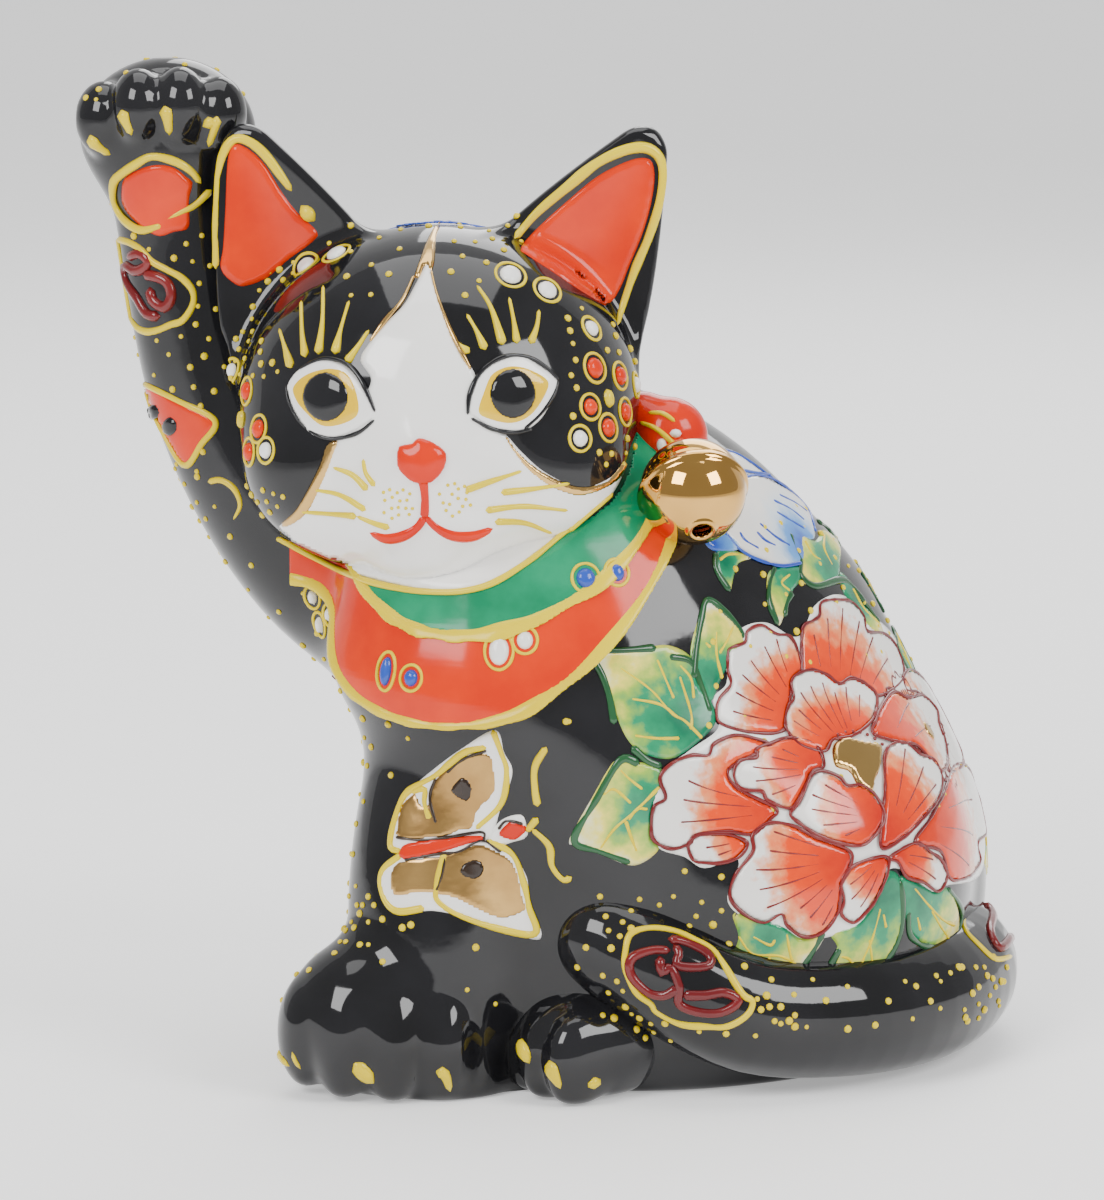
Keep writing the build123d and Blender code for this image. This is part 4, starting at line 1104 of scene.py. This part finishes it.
# Leaves round it: outline, where its green is deepest, veins, dark edge lines
LEAVES = (
    (halves(49,-18, 52,-6, 55,0, 62,-5, 67,-11, 68,-17, 62,-24, 59,-30, 56,-36, 51,-28), (29, -14),
     (halves(60,-28, 58,-19, 58,-11), halves(59,-19, 62,-14, 64,-9), ((28, -8.5), (27, -7.5))), (halves(50,-28,
     51,-17, 53,-6, 55,0, 61,-4, 67,-11, 67,-14),)),
    (halves(12,-17, 22,-18, 32,-17, 41,-16, 49,-20, 51,-28, 56,-35, 58,-43, 52,-50, 43,-56, 34,-55, 28,-51,
     24,-44, 20,-33, 16,-24), (24.5, -21.5), (halves(53,-49, 47,-43, 42,-40, 35,-32, 24,-24), halves(43,-35,
     40,-28, 37,-21), halves(49,-46, 49,-40, 45,-27), halves(45,-42, 38,-37, 28,-35), halves(45,-49, 37,-49,
     29,-48), halves(50,-35, 49,-28, 45,-23)), (halves(56,-40, 53,-31, 49,-22, 41,-20), halves(12,-17, 22,-18,
     37,-17), halves(12,-18, 17,-25, 20,-33, 22,-44), halves(28,-52, 34,-57, 39,-59))),
    (halves(6,-85, 13,-72, 22,-57, 29,-57, 40,-61, 36,-73, 35,-83, 38,-88, 29,-94, 17,-90, 9,-87), (17.5, -36),
     (halves(38,-66, 29,-75, 22,-81, 17,-88), halves(32,-67, 27,-63, 24,-60), halves(28,-72, 22,-67, 18,-69),
     halves(26,-78, 28,-84, 30,-89), halves(34,-74, 30,-74, 27,-78)), (halves(31,-58, 24,-57, 15,-72, 8,-85,
     17,-89, 28,-93),)),
    (halves(64,-111, 71,-112, 81,-115, 89,-120, 97,-117, 93,-125, 86,-132, 77,-136, 67,-134, 62,-130, 66,-120),
     (38.5, -59), (halves(88,-130, 81,-126, 71,-125, 66,-119), halves(85,-128, 84,-124, 83,-118),
     halves(77,-126, 76,-130, 74,-133), halves(79,-120, 77,-122, 71,-119)), (halves(63,-131, 68,-135, 77,-135,
     87,-131, 93,-123, 96,-117),)),
    (halves(99,-118, 110,-113, 118,-97, 123,-98, 124,-108, 123,-118, 118,-128, 111,-136, 106,-148, 100,-142,
     97,-131, 101,-123), (58, -52.5), (halves(108,-142, 109,-130, 113,-120, 116,-109), halves(108,-131,
     105,-127, 102,-126), halves(113,-133, 113,-127, 112,-120), ((59, -58), (58.5, -55.5))), (halves(102,-123,
     98,-132, 100,-142, 106,-147), halves(123,-99, 124,-108, 123,-119, 118,-128, 111,-136, 108,-142))),
    (halves(124,-108, 123,-98, 128,-99, 135,-103, 140,-102, 144,-111, 143,-120, 136,-123, 128,-119), (64.5,
     -51.5), (halves(142,-115, 138,-113, 133,-108, 128,-102), halves(140,-120, 137,-115, 134,-110), ((65,
     -58.5), (64.5, -56))), (halves(126,-110, 127,-119, 134,-123, 142,-120, 145,-111, 140,-102),)),
    (halves(154,-72, 158,-78, 162,-89, 162,-100, 157,-98, 153,-92, 154,-83), (78, -42), (halves(155,-78,
     158,-85, 160,-95),), ()),
    (halves(58,17, 61,18, 66,17, 71,15, 66,13, 64,7, 63,3, 60,6, 58,12), (30.5, 7), (halves(59,14, 62,16,
     66,16),), (halves(58,17, 58,11, 63,3),)),
    (halves(78,11, 88,12, 88,7, 85,3, 82,-6, 80,-9, 77,-1, 76,6), (42, 5), (halves(84,3, 81,6, 84,9),),
     (halves(79,12, 77,6, 77,-1, 80,-9), halves(85,3, 83,-1, 82,-6))),
    (halves(88,14, 84,25, 88,24, 93,21, 96,25, 101,21, 102,14, 101,7, 95,5, 89,6, 88,11), (49, 6),
     (halves(89,21, 92,16, 95,14), halves(96,23, 96,18, 99,12)), (halves(84,24, 86,18, 88,14, 88,9, 93,5, 101,7,
     105,6, 110,0, 116,-8), halves(94,28, 98,25, 102,19))),
    (halves(102,10, 106,6, 110,-1, 116,-8, 118,-14, 113,-11, 109,-6, 103,3), (53.5, 1), (halves(106,4, 110,-3,
     116,-9),), ()),
)
# The blue flower's petals, each with where it is bluest, and its brush lines
BLUE_PETALS = (
    (halves(57,54, 64,53, 71,48, 79,42, 88,36, 92,28, 88,34, 80,41, 73,44, 66,45, 61,50), (45.5, 15)),
    (halves(66,43, 73,44, 80,41, 88,36, 92,28, 93,22, 89,21, 89,14, 82,12, 75,14, 68,17, 62,23, 59,27, 63,33,
     66,38), (44, 10)),
    (halves(54,22, 61,24, 67,19, 62,17, 56,18), (28.5, 10)),
)
BLUE_LINES = (
    halves(67,43, 73,44, 81,41, 88,35, 92,28, 93,24),
    halves(66,44, 65,40, 68,37),
    halves(60,25, 66,18, 73,14, 81,12, 88,13),
    halves(58,53, 64,52, 71,48, 79,42, 86,37),
    halves(78,35, 84,32, 89,28),
    halves(79,31, 84,28, 89,25),
    halves(80,37, 86,34, 90,31),
    halves(72,24, 75,21, 79,19),
    halves(73,27, 79,22, 84,19),
    halves(66,24, 68,21, 73,18),
    halves(65,46, 71,45, 77,44),
)
# The butterfly: white wings, gilded panels, spots, its red body and head, and its lines
WINGS = (
    halves(-20,-46, -17,-54, -14,-61, -18,-73, -23,-85, -37,-84, -53,-89, -58,-86, -55,-76, -51,-68, -42,-60,
     -31,-52),
    halves(-56,-91, -53,-90, -37,-87, -25,-85, -15,-89, -9,-98, -8,-107, -4,-120, -20,-116, -32,-112, -43,-110,
     -56,-111, -61,-102, -60,-95),
    halves(-23,-85, -18,-78, -11,-76, -9,-80, -9,-84, -15,-86, -18,-87),
)
WING_PANELS = (
    halves(-22,-54, -20,-60, -20,-68, -26,-75, -28,-81, -33,-82, -38,-84, -54,-85, -55,-80, -53,-72, -48,-68,
     -45,-73, -42,-64, -37,-59, -31,-55),
    halves(-57,-96, -53,-92, -39,-90, -27,-86, -20,-88, -13,-93, -10,-104, -9,-110, -18,-113, -27,-110,
     -35,-106, -46,-104, -56,-105),
)
WING_SPOTS = (
    halves(-36,-67, -32,-62, -28,-65, -29,-71, -32,-71, -35,-69),
    halves(-33,-95, -30,-92, -25,-92, -24,-96, -27,-99, -32,-98),
)
MOTH_BODY = (
    halves(-53,-87, -46,-85, -37,-84, -25,-83, -24,-85, -28,-86, -41,-90, -53,-92),
    halves(-19,-82, -15,-78, -10,-79, -9,-82, -13,-85, -18,-84),
)
WING_YELLOWS = (
    halves(-21,-46, -18,-54, -16,-61, -18,-72, -27,-81),
    halves(-23,-52, -31,-54, -41,-62, -51,-68, -55,-76, -57,-87, -53,-89),
    halves(-50,-68, -45,-67, -45,-72, -43,-78),
    halves(-53,-90, -60,-96, -60,-104, -55,-110, -45,-109),
    halves(-23,-85, -14,-90, -10,-100, -8,-109, -6,-118, -20,-116, -32,-112, -40,-107, -41,-102, -38,-89),
    halves(-2,-52, -6,-59, -6,-67, -5,-73),
    ((-4.5, -41), (-2.5, -38.5)),
    halves(-7,-81, -1,-87, 0,-94, 4,-99, 7,-98),
)
WING_DARKS = (
    halves(-37,-61, -31,-56, -23,-53),
    halves(-41,-63, -43,-70, -41,-79),
    halves(-55,-84, -46,-85, -37,-84, -25,-82, -24,-85),
    halves(-52,-92, -41,-90, -33,-89, -25,-85, -18,-89),
    halves(-38,-91, -39,-97, -41,-103),
    halves(-19,-81, -16,-78, -10,-79),
)
# Yellow strokes on the toes
STANDING_CLAWS = (
    ((-49, -79, 1.2), (-48, -81, 1.2), (-46.5, -82.5, 0.6)),
    ((-46, -80, 0.6), (-45.5, -81.5, 0.6), (-44.5, -83, 0.6)),
    ((-35, -82, 1.3), (-33, -84, 2.0), (-31.5, -85.5, 1.2)),
    ((-20.5, -83.5, 1.7), (-19, -84, 1.2), (-18, -87, 0.7)),
)
HIND_CLAWS = (
    ((-6, -78, 1.2), (-5, -80, 1.7), (-4, -82, 0.8)),
    ((-0.5, -81.5, 1.2), (0, -83.5, 1.6), (1.5, -86.5, 0.5)),
    ((7.5, -84.5, 2.0), (7.5, -85.5, 2.0), (7.5, -86.5, 1.8)),
    ((18, -82.5, 1.7), (18.5, -84.5, 1.4), (18.5, -88, 0.6)),
)
DOTS = halves(-60,-128, -67,-108, -69,-108, -63,-108, -65,-105, -68,-111, -71,-114, -65,-114, -60,-113,
    -73,-117, -70,-116, -53,-116, -50,-115, -73,-121, -75,-121, -68,-122, -65,-122, -86,-131, -91,-132,
    -77,-125, -27,-123, -30,-138, -20,-143, -67,-42, -58,-44, -51,-49, -64,-52, -57,-62, 6,-43, 17,-105,
    12,-123, 9,-130, 31,-106, 43,-105, 38,-108, 28,-110, 25,-114, 20,-117, 24,-119, 28,-117, 19,-112, 23,-135,
    20,-139, 18,-133, 26,-144, 31,-148, 35,-150, 36,-153, 33,-155, 42,-156, 30,-152, 18,-147, 22,-148)
TAIL_DOTS = halves(47,-96, 60,-98, 53,-107, 51,-112, 60,-110, 57,-115, 76,-140, 74,-145, 77,-144, 81,-144,
    86,-147, 84,-149, 81,-150, 86,-151, 125,-135, 134,-142, 151,-137, 154,-133, 153,-130, 150,-130, 144,-130,
    141,-132, 136,-133, 156,-134, 159,-135, 157,-137, 155,-140, 151,-143, 153,-145, 151,-148, 147,-149,
    146,-145, 158,-142, 161,-130, 10,-26, 5,-43)
# Two crests on the tail, here free swirls inside yellow loops
TAIL_LOOPS = (
    halves(58,-125, 50,-120, 43,-117, 35,-116, 28,-118, 26,-124, 26,-131, 30,-139, 35,-143, 37,-146, 45,-150,
     54,-151, 62,-151, 69,-147, 71,-142, 67,-139),
    halves(146,-109, 146,-116, 151,-122, 157,-127, 163,-126),
)
TAIL_SWIRLS = (
    halves(42,-124, 35,-124, 28,-127, 28,-133, 34,-139, 40,-140, 45,-137),
    halves(41,-120, 47,-121, 55,-125, 56,-129, 50,-130, 44,-129, 45,-125, 43,-122),
    halves(38,-126, 39,-132, 42,-130, 45,-137, 45,-143, 52,-146, 60,-146, 66,-142, 61,-139, 54,-140, 46,-140),
    halves(148,-103, 152,-106, 156,-111, 155,-117, 158,-123, 162,-120, 163,-113, 161,-106),
    halves(147,-101, 156,-101, 160,-106, 159,-111, 156,-112),
)
# Ground strewn with dots: its outline, their gap, what they keep clear of and what they lie on
DOTTED = (
    (((9, -60), (22, -54), (40, -64), (60, -68), (78, -62), (80, -72), (60, -78), (36, -78), (14, -74)), 4.2,
     TAIL_LOOPS[:1], tail),
    (((-47, 40), (-50, 45), (-52, 52), (-44, 58), (-48, 62), (-54, 52), (-58, 42), (-57, 38)), 1.7, (), head),
    (((-60, 28), (-57, 22), (-48, 20), (-46, 24), (-48, 16), (-56, 14)), 1.6, (), head),
    (((2, 50), (8, 52), (14, 46), (17, 34), (14, 24), (8, 24), (3, 30), (3, 36)), 1.9,
     [spot((u, v), 2.6, 1.3) for u, v, *_ in BLOSSOMS["left"][0] + BLOSSOMS["left"][2]], head),
    (((-40, 66), (-30, 70), (-22, 69), (-26, 60), (-34, 52), (-38, 58)), 3.4, (), head),
    (((-19, 66), (-10, 68), (0, 62), (-10, 60), (-14, 52), (-18, 56)), 2.8, [spot((-7.3, 57.6), 3.4)], head),
)


def build_peony():
    ground, petals, edges, gilt = sheets(4)
    patch(ground, FLANK, turned(GROUND), 0.15, field=body, cell=0.7)
    for layer, (base, drawn) in enumerate(PEONY):
        base, loop = turned([base])[0], turned(drawn)
        lift = 0.1 + 0.035 * layer
        reach = np.hypot(*(loop - base).T).max()
        patch(petals, FLANK, loop, 0.3, lift=lift, field=body, cell=0.5, tone=towards(base, reach))
        stroke(edges, FLANK, loop, 0.62, 0.4, True, body, lift + 0.15, 0.3)
        # Brush lines run out from the base, fanned over the petal and stopping short of its white rim
        heading = math.atan2(*(loop.mean(0) - base)[::-1])
        for turn in np.linspace(-0.75, 0.75, 8):
            bend = rng.uniform(0.03, 0.09)
            line = []
            for share in np.linspace(0.3, 0.8, 6):
                a = heading + turn + bend * math.sin(share * 3)
                line.append((base[0] + reach * share * math.cos(a), base[1] + reach * share * math.sin(a)))
            kept = [q for q, d in zip(line, inside_depth(np.array(line), loop)) if d > 0.9]
            if len(kept) > 2:
                path = [(*q, 0.55 + 0.6 * i / (len(kept) - 1)) for i, q in enumerate(kept)]
                stroke(edges, FLANK, path, 0.36, rise=0.5, field=body, lift=lift + 0.22, wobble=0.25)
    patch(gilt, FLANK, turned(HEART), 0.35, lift=0.6, field=body, cell=0.4)
    stamens = turned([(50.3 + 1.3 * k, -23.6 - 0.14 * (k - 2) ** 2, 0.35) for k in range(7)])
    dots(edges, FLANK, stamens, body, lift=0.6)
    fire((ground, "peony_ground", WHITE), (petals, "peony_petals", PETAL, "peony"),
         (edges, "peony_lines", MAROON), (gilt, "peony_gilding", GOLD, "peony_heart"))


def build_leaves():
    leaves, veins, rims = sheets(3)
    for drawn, deep, vein_lines, edge_lines in LEAVES:
        loop, deep = turned(drawn), turned([deep])[0]
        reach = np.hypot(*(loop - deep).T).max()
        patch(leaves, FLANK, loop, 0.25, field=body, cell=0.5, tone=towards(deep, reach))
        for line in vein_lines:
            path = turned([(*q, 1.25 - 0.75 * i / len(line)) for i, q in enumerate(line)])
            stroke(veins, FLANK, path, 0.55, rise=0.5, field=body, lift=0.15, wobble=0.25)
        for line in edge_lines:
            stroke(rims, FLANK, turned(line), 1.25, rise=0.25, field=body, lift=0.1, wobble=0.35)
    fire((leaves, "leaf_enamel", LEAF, "peony_leaves"), (veins, "leaf_veins", YELLOW),
         (rims, "leaf_edges", DARK_GREEN))


def build_blue_flower():
    petals, lines = sheets(2)
    for layer, (drawn, blue_end) in enumerate(BLUE_PETALS):
        patch(petals, FLANK, turned(drawn), 0.25, lift=0.06 * layer, field=body, cell=0.45,
              tone=towards(turned([blue_end])[0], 11))
    for line in BLUE_LINES:
        stroke(lines, FLANK, turned(line), 0.6, rise=0.3, field=body, lift=0.25, wobble=0.3)
    fire((petals, "blue_petals", BLUE_WASH, "blue_flower", "blue_flower_heart"), (lines, "blue_lines", BLUE))


def build_butterfly():
    white, gilt, yellow, dark, red = sheets(5)
    for layer, outline in enumerate(WINGS):
        patch(white, FRONT, outline, 0.25, field=body, cell=0.5, lift=0.03 * layer)
    for outline in WING_PANELS:
        patch(gilt, FRONT, outline, 0.25, lift=0.18, field=body, cell=0.45)
    for outline in WING_SPOTS:
        patch(dark, FRONT, outline, 0.4, lift=0.35, field=body, cell=0.35)
    for outline in MOTH_BODY:
        patch(red, FRONT, outline, 0.5, lift=0.2, field=body, cell=0.35)
    for line in WING_YELLOWS:
        stroke(yellow, FRONT, line, 1.2, rise=0.35, field=body, lift=0.15, wobble=0.25)
    for line in WING_DARKS:
        stroke(dark, FRONT, line, 0.5, rise=0.4, field=body, lift=0.4, wobble=0.3)
    fire((white, "wing_ground", WHITE), (gilt, "wing_gilding", BRONZE, "butterfly_wings"),
         (yellow, "wing_lines", YELLOW), (dark, "wing_darks", UMBER), (red, "moth_body", RED, "butterfly_body"))


def build_tail_and_feet():
    yellow, maroon, claws, hind = sheets(4)
    for i, line in enumerate(TAIL_LOOPS):
        stroke(yellow, FRONT, line, 1.2, 0.4, i == 0, tail, wobble=0.25)
    for line in TAIL_SWIRLS:
        stroke(maroon, FRONT, line, 1.7, rise=0.45, field=tail)
    for line in STANDING_CLAWS:
        stroke(claws, FRONT, line, 1.7, rise=0.3, field=body)
    for line in HIND_CLAWS:
        stroke(hind, FRONT, line, 1.7, rise=0.3, field=hind_paw_left)
    dots(yellow, FRONT, [(u, v, rng.uniform(0.45, 0.75)) for u, v in (*DOTS, *TAIL_DOTS)])
    for outline, gap, avoid, field in DOTTED:
        dots(yellow, FRONT, scatter(outline, gap, avoid), field=field)
    fire((yellow, "yellow_dots", YELLOW), (maroon, "tail_swirls", MAROON, "tail_crest"),
         (claws, "standing_claw_lines", YELLOW, "standing_paw_claws"),
         (hind, "hind_claw_lines", YELLOW, "hind_paw_claws"))


# --- the sides and back ----------------------------------------------------------------------------
def petal_outline(base, angle, length, width):
    """A scalloped petal springing from a base: its foot, its flanks and a lobed tip."""
    shape = ((0, 0), (0.3, 0.30), (0.62, 0.48), (0.84, 0.44), (0.97, 0.26), (0.92, 0.13), (1.03, 0),
             (0.92, -0.13), (0.97, -0.26), (0.84, -0.44), (0.62, -0.48), (0.3, -0.30))
    c, s = math.cos(angle), math.sin(angle)
    return [(base[0] + length * x * c - width * y * s, base[1] + length * x * s + width * y * c)
            for x, y in shape]


def leaf_outline(foot_at, tip, width):
    a, b = np.array(foot_at, float), np.array(tip, float)
    along = b - a
    aside = np.array((-along[1], along[0])) / np.linalg.norm(along) * width
    shape = ((0, 0), (0.2, 0.36), (0.45, 0.5), (0.7, 0.3), (1, 0), (0.75, -0.34), (0.45, -0.46), (0.18, -0.3))
    return [tuple(a + along * x + aside * y) for x, y in shape]


def blossom(view, centre, size, colours, field, start):
    """A flower of two rounds of petals with brush lines and a gilt heart."""
    ground, petals, edges, gilt = colours
    patch(ground, view, spot(centre, size * 0.98, sides=20), 0.15, cell=0.8, field=field)
    for layer, (many, share) in enumerate(((8, 1.0), (6, 0.62))):
        for k in range(many):
            angle = start + (k + 0.5 * layer) / many * 2 * math.pi
            length = size * share * rng.uniform(0.92, 1.06)
            outline = petal_outline(centre, angle, length, size * share * 4.9 / many)
            lift = 0.12 + 0.22 * layer + 0.03 * (k % 3)
            patch(petals, view, outline, 0.28, lift=lift, cell=0.6, field=field,
                  tone=towards(centre, length * 0.98))
            stroke(edges, view, outline, 0.5, 0.4, True, field, lift + 0.14, 0.3)
            for turn in (-0.2, -0.07, 0.07, 0.2):
                a = angle + turn * 6 / many
                line = [(centre[0] + length * r * math.cos(a), centre[1] + length * r * math.sin(a), w)
                        for r, w in ((0.42, 0.6), (0.58, 0.9), (0.74, 1.1))]
                stroke(edges, view, line, 0.36, rise=0.5, field=field, lift=lift + 0.2)
    patch(gilt, view, spot(centre, size * 0.17, sides=9), 0.4, lift=0.6, cell=0.4, field=field)


# Views from behind and beside; each flower is its place and size, each leaf its foot, tip and width
BACK = View(180, 12)
RIGHT = View(90, 10)
LEFT = View(285, 10)
CROWN = View(180, 55, target=HEAD)
BACK_FLOWERS = ((BACK, (-38, -26), 17.0, "red"), (BACK, (-2, -36), 15.5, "blue"), (BACK, (22, -2), 12.0, "blue"),
                (RIGHT, (0, -32), 11.0, "red"), (LEFT, (14, -36), 12.0, "red"))
BACK_LEAVES = (
    (BACK, (-38, -8), (-30, 8), 8), (BACK, (-24, -14), (-12, -6), 8), (BACK, (-56, -12), (-58, 2), 7),
    (BACK, (-22, -46), (-14, -60), 9), (BACK, (8, -50), (4, -62), 8), (BACK, (12, -16), (8, -6), 7),
    (BACK, (-8, -20), (-6, -6), 7), (BACK, (-50, -40), (-62, -50), 8),
    (RIGHT, (-8, -22), (-18, -12), 7), (RIGHT, (-10, -40), (-20, -50), 8), (RIGHT, (8, -42), (12, -54), 7),
    (LEFT, (4, -26), (-4, -14), 7), (LEFT, (24, -28), (32, -18), 7), (LEFT, (16, -50), (22, -58), 7))
# Each field of dots: its view, outline, gap and what they lie on
BACK_DOTS = (
    (BACK, ((-70, -60), (-50, -66), (0, -70), (40, -70), (58, -40), (52, -10), (40, 20), (10, 14), (-30, 18),
            (-60, -10)), 4.6, body),
    (RIGHT, ((-50, -60), (-40, -10), (-20, 10), (20, 10), (30, -30), (30, -62)), 4.6, body),
    (LEFT, ((-30, -40), (-20, 0), (20, 10), (40, -20), (44, -52)), 5.0, body),
    (BACK, ((-10, 70), (16, 72), (46, 66), (50, 30), (30, 12), (0, 16), (-10, 40)), 4.2, head),
    (BACK, ((56, 96), (80, 96), (80, 60), (70, 20), (60, 20), (58, 60)), 3.8, body))


def back_leaf(colours, view, foot_at, tip, width, field, reach):
    """A leaf with a dark edge, its green deepest at the foot."""
    leaves, rims = colours
    outline = leaf_outline(foot_at, tip, width)
    patch(leaves, view, outline, 0.25, cell=0.6, field=field, tone=towards(foot_at, reach))
    stroke(rims, view, outline, 0.8, 0.3, True, field, 0.1, 0.35)


def build_back():
    ground, gilt, blue_lines, red_lines, blue, red, leaves, veins, rims, yellow = sheets(10)
    for view, foot_at, tip, width in BACK_LEAVES:
        a, b = np.array(foot_at, float), np.array(tip, float)
        back_leaf((leaves, rims), view, foot_at, tip, width, body, np.hypot(*(b - a)) * 1.15)
        aside = np.array((-(b - a)[1], (b - a)[0])) / np.hypot(*(b - a)) * width * 0.3
        midrib = (tuple(a * 0.9 + b * 0.1), tuple((a + b) / 2 + aside * 0.1), tuple(a * 0.1 + b * 0.9))
        stroke(veins, view, midrib, 0.5, field=body, lift=0.15)
        for share, side in ((0.3, 1), (0.5, -1), (0.6, 1)):
            root = a + (b - a) * share
            vein = (tuple(root), tuple(root + (b - a) * 0.1 + aside * side * 0.6),
                    tuple(root + (b - a) * 0.16 + aside * side))
            stroke(veins, view, vein, 0.42, field=body, lift=0.15)
    for view, centre, size, hue in BACK_FLOWERS:
        petals, lines = (red, red_lines) if hue == "red" else (blue, blue_lines)
        blossom(view, centre, size, (ground, petals, lines, gilt), body, start=rng.uniform(0, 1))
    # A spray over the crown, whose top edge shows from the front
    blossom(CROWN, (0, 6), 11.0, (ground, blue, blue_lines, gilt), head, start=0.3)
    for foot_at, tip in (((12, 8), (24, 16)), ((-12, 8), (-24, 17)), ((1, -5), (5, -17))):
        back_leaf((leaves, rims), CROWN, foot_at, tip, 7, head, 14)
    for view, outline, gap, field in BACK_DOTS:
        avoid = []
        if field is body:
            avoid = [spot(centre, size + 1.5) for at_view, centre, size, _ in BACK_FLOWERS if at_view is view]
            avoid += [leaf_outline(*leaf, width + 2) for at_view, *leaf, width in BACK_LEAVES if at_view is view]
        dots(yellow, view, scatter(outline, gap, avoid), field=field)
    fire((ground, "back_ground", WHITE), (blue, "back_blue_petals", BLUE_WASH), (red, "back_red_petals", PETAL),
         (blue_lines, "back_blue_lines", BLUE), (red_lines, "back_red_lines", MAROON),
         (gilt, "back_gilding", GOLD), (leaves, "back_leaves", LEAF), (veins, "back_veins", YELLOW), (rims, "back_leaf_edges", DARK_GREEN),
         (yellow, "back_dots", YELLOW))


# --- the castings ----------------------------------------------------------------------------------
def build_castings():
    reach = 2.0
    low, high = (np.array(corner) / MM for corner in CAD_BOX)
    sculpt("glazed_body", body, low - reach, high + reach, 0.95, BLACK,
           ("body_casting", "raised_foreleg", "standing_foreleg"))
    ear_top = at(0, 0, 169)[2]
    sculpt("glazed_head", head, (HEAD[0] - 45, HEAD[1] - 36, HEAD[2] - 36), (HEAD[0] + 45, HEAD[1] + 36, ear_top),
           0.7, BLACK, ("head_casting", "ear_right", "ear_left"))
    for name, field in (("tail", tail), ("hind_paw_left", hind_paw_left), ("hind_paw_right", hind_paw_right)):
        node_low, node_high = corners(name)
        sculpt(f"glazed_{name}", field, node_low - (16, 16, 3), node_high + (16, 16, 6), 0.7, BLACK, (name,))
    node_low, node_high = corners("bib_knot")
    sculpt("scarf_knot", knot, node_low - 4, node_high + 4, 0.5, RED, ("bib_knot",))


def build_stage():
    """The camera, the pale floor and soft studio light."""
    view = bpy.data.cameras.new("camera")
    view.sensor_fit = "VERTICAL"
    view.sensor_height = 36
    view.lens = 36 * DISTANCE / FRAME_HEIGHT
    view.clip_start = 0.01
    camera = bpy.data.objects.new("camera", view)
    back = np.array((0, -math.cos(ELEVATION), math.sin(ELEVATION)))
    camera.location = (TARGET + back * DISTANCE) * MM
    camera.rotation_euler = (math.pi / 2 - ELEVATION, 0, 0)
    bpy.context.scene.collection.objects.link(camera)
    bpy.context.scene.camera = camera

    # A paper sweep: flat floor, a wide bend and a wall behind
    floor_mesh = bpy.data.meshes.new("floor")
    profile = [(-3.0, 0.0), (1.2, 0.0)] + [(1.2 + 0.9 * math.sin(a), 0.9 - 0.9 * math.cos(a))
                                          for a in np.linspace(0.1, math.pi / 2, 15)] + [(2.1, 4.0)]
    rows = [(x, y, z) for y, z in profile for x in (-4.0, 4.0)]
    floor_mesh.from_pydata(rows, [], [(2 * i, 2 * i + 1, 2 * i + 3, 2 * i + 2) for i in range(len(profile) - 1)])
    floor_mesh.polygons.foreach_set("use_smooth", [True] * len(floor_mesh.polygons))
    floor = bpy.data.objects.new("floor", floor_mesh)
    paper = ceramic("paper", (0.90, 0.90, 0.90), 0.8, second=(0.89, 0.89, 0.89), bump=0, shine=0.1)
    shading = paper.node_tree.nodes["Principled BSDF"].inputs
    shading["Emission Color"].default_value = (1, 1, 1, 1)
    shading["Emission Strength"].default_value = 0.4
    floor_mesh.materials.append(paper)
    bpy.context.scene.collection.objects.link(floor)

    world = bpy.data.worlds.new("studio")
    bpy.context.scene.world = world
    world.use_nodes = True
    sky = world.node_tree.nodes["Background"].inputs
    sky["Color"].default_value = (1, 1, 1, 1)
    sky["Strength"].default_value = 0.45
    # Soft boxes: place and size in metres, and power in watts
    boxes = (((-0.55, -0.75, 0.75), 0.5, 9.0), ((0.75, -0.55, 0.65), 0.45, 7.0), ((0.0, 0.1, 1.1), 0.8, 6.0),
             ((0.2, 0.9, 0.7), 0.6, 5.0))
    for i, (place, size, power) in enumerate(boxes):
        lamp = bpy.data.lights.new(f"softbox_{i}", "AREA")
        lamp.size = size
        lamp.energy = power
        light = bpy.data.objects.new(f"softbox_{i}", lamp)
        light.location = place
        aim = np.array((0, 0, 0.09)) - np.array(place)
        light.rotation_euler = Vector(aim).to_track_quat("-Z", "Y").to_euler()
        bpy.context.scene.collection.objects.link(light)


build_stage()
build_castings()
build_face()
build_blossoms()
build_ears()
build_raised_paw()
build_scarf()
build_knot_enamel()
build_peony()
build_leaves()
build_blue_flower()
build_butterfly()
build_tail_and_feet()
build_back()
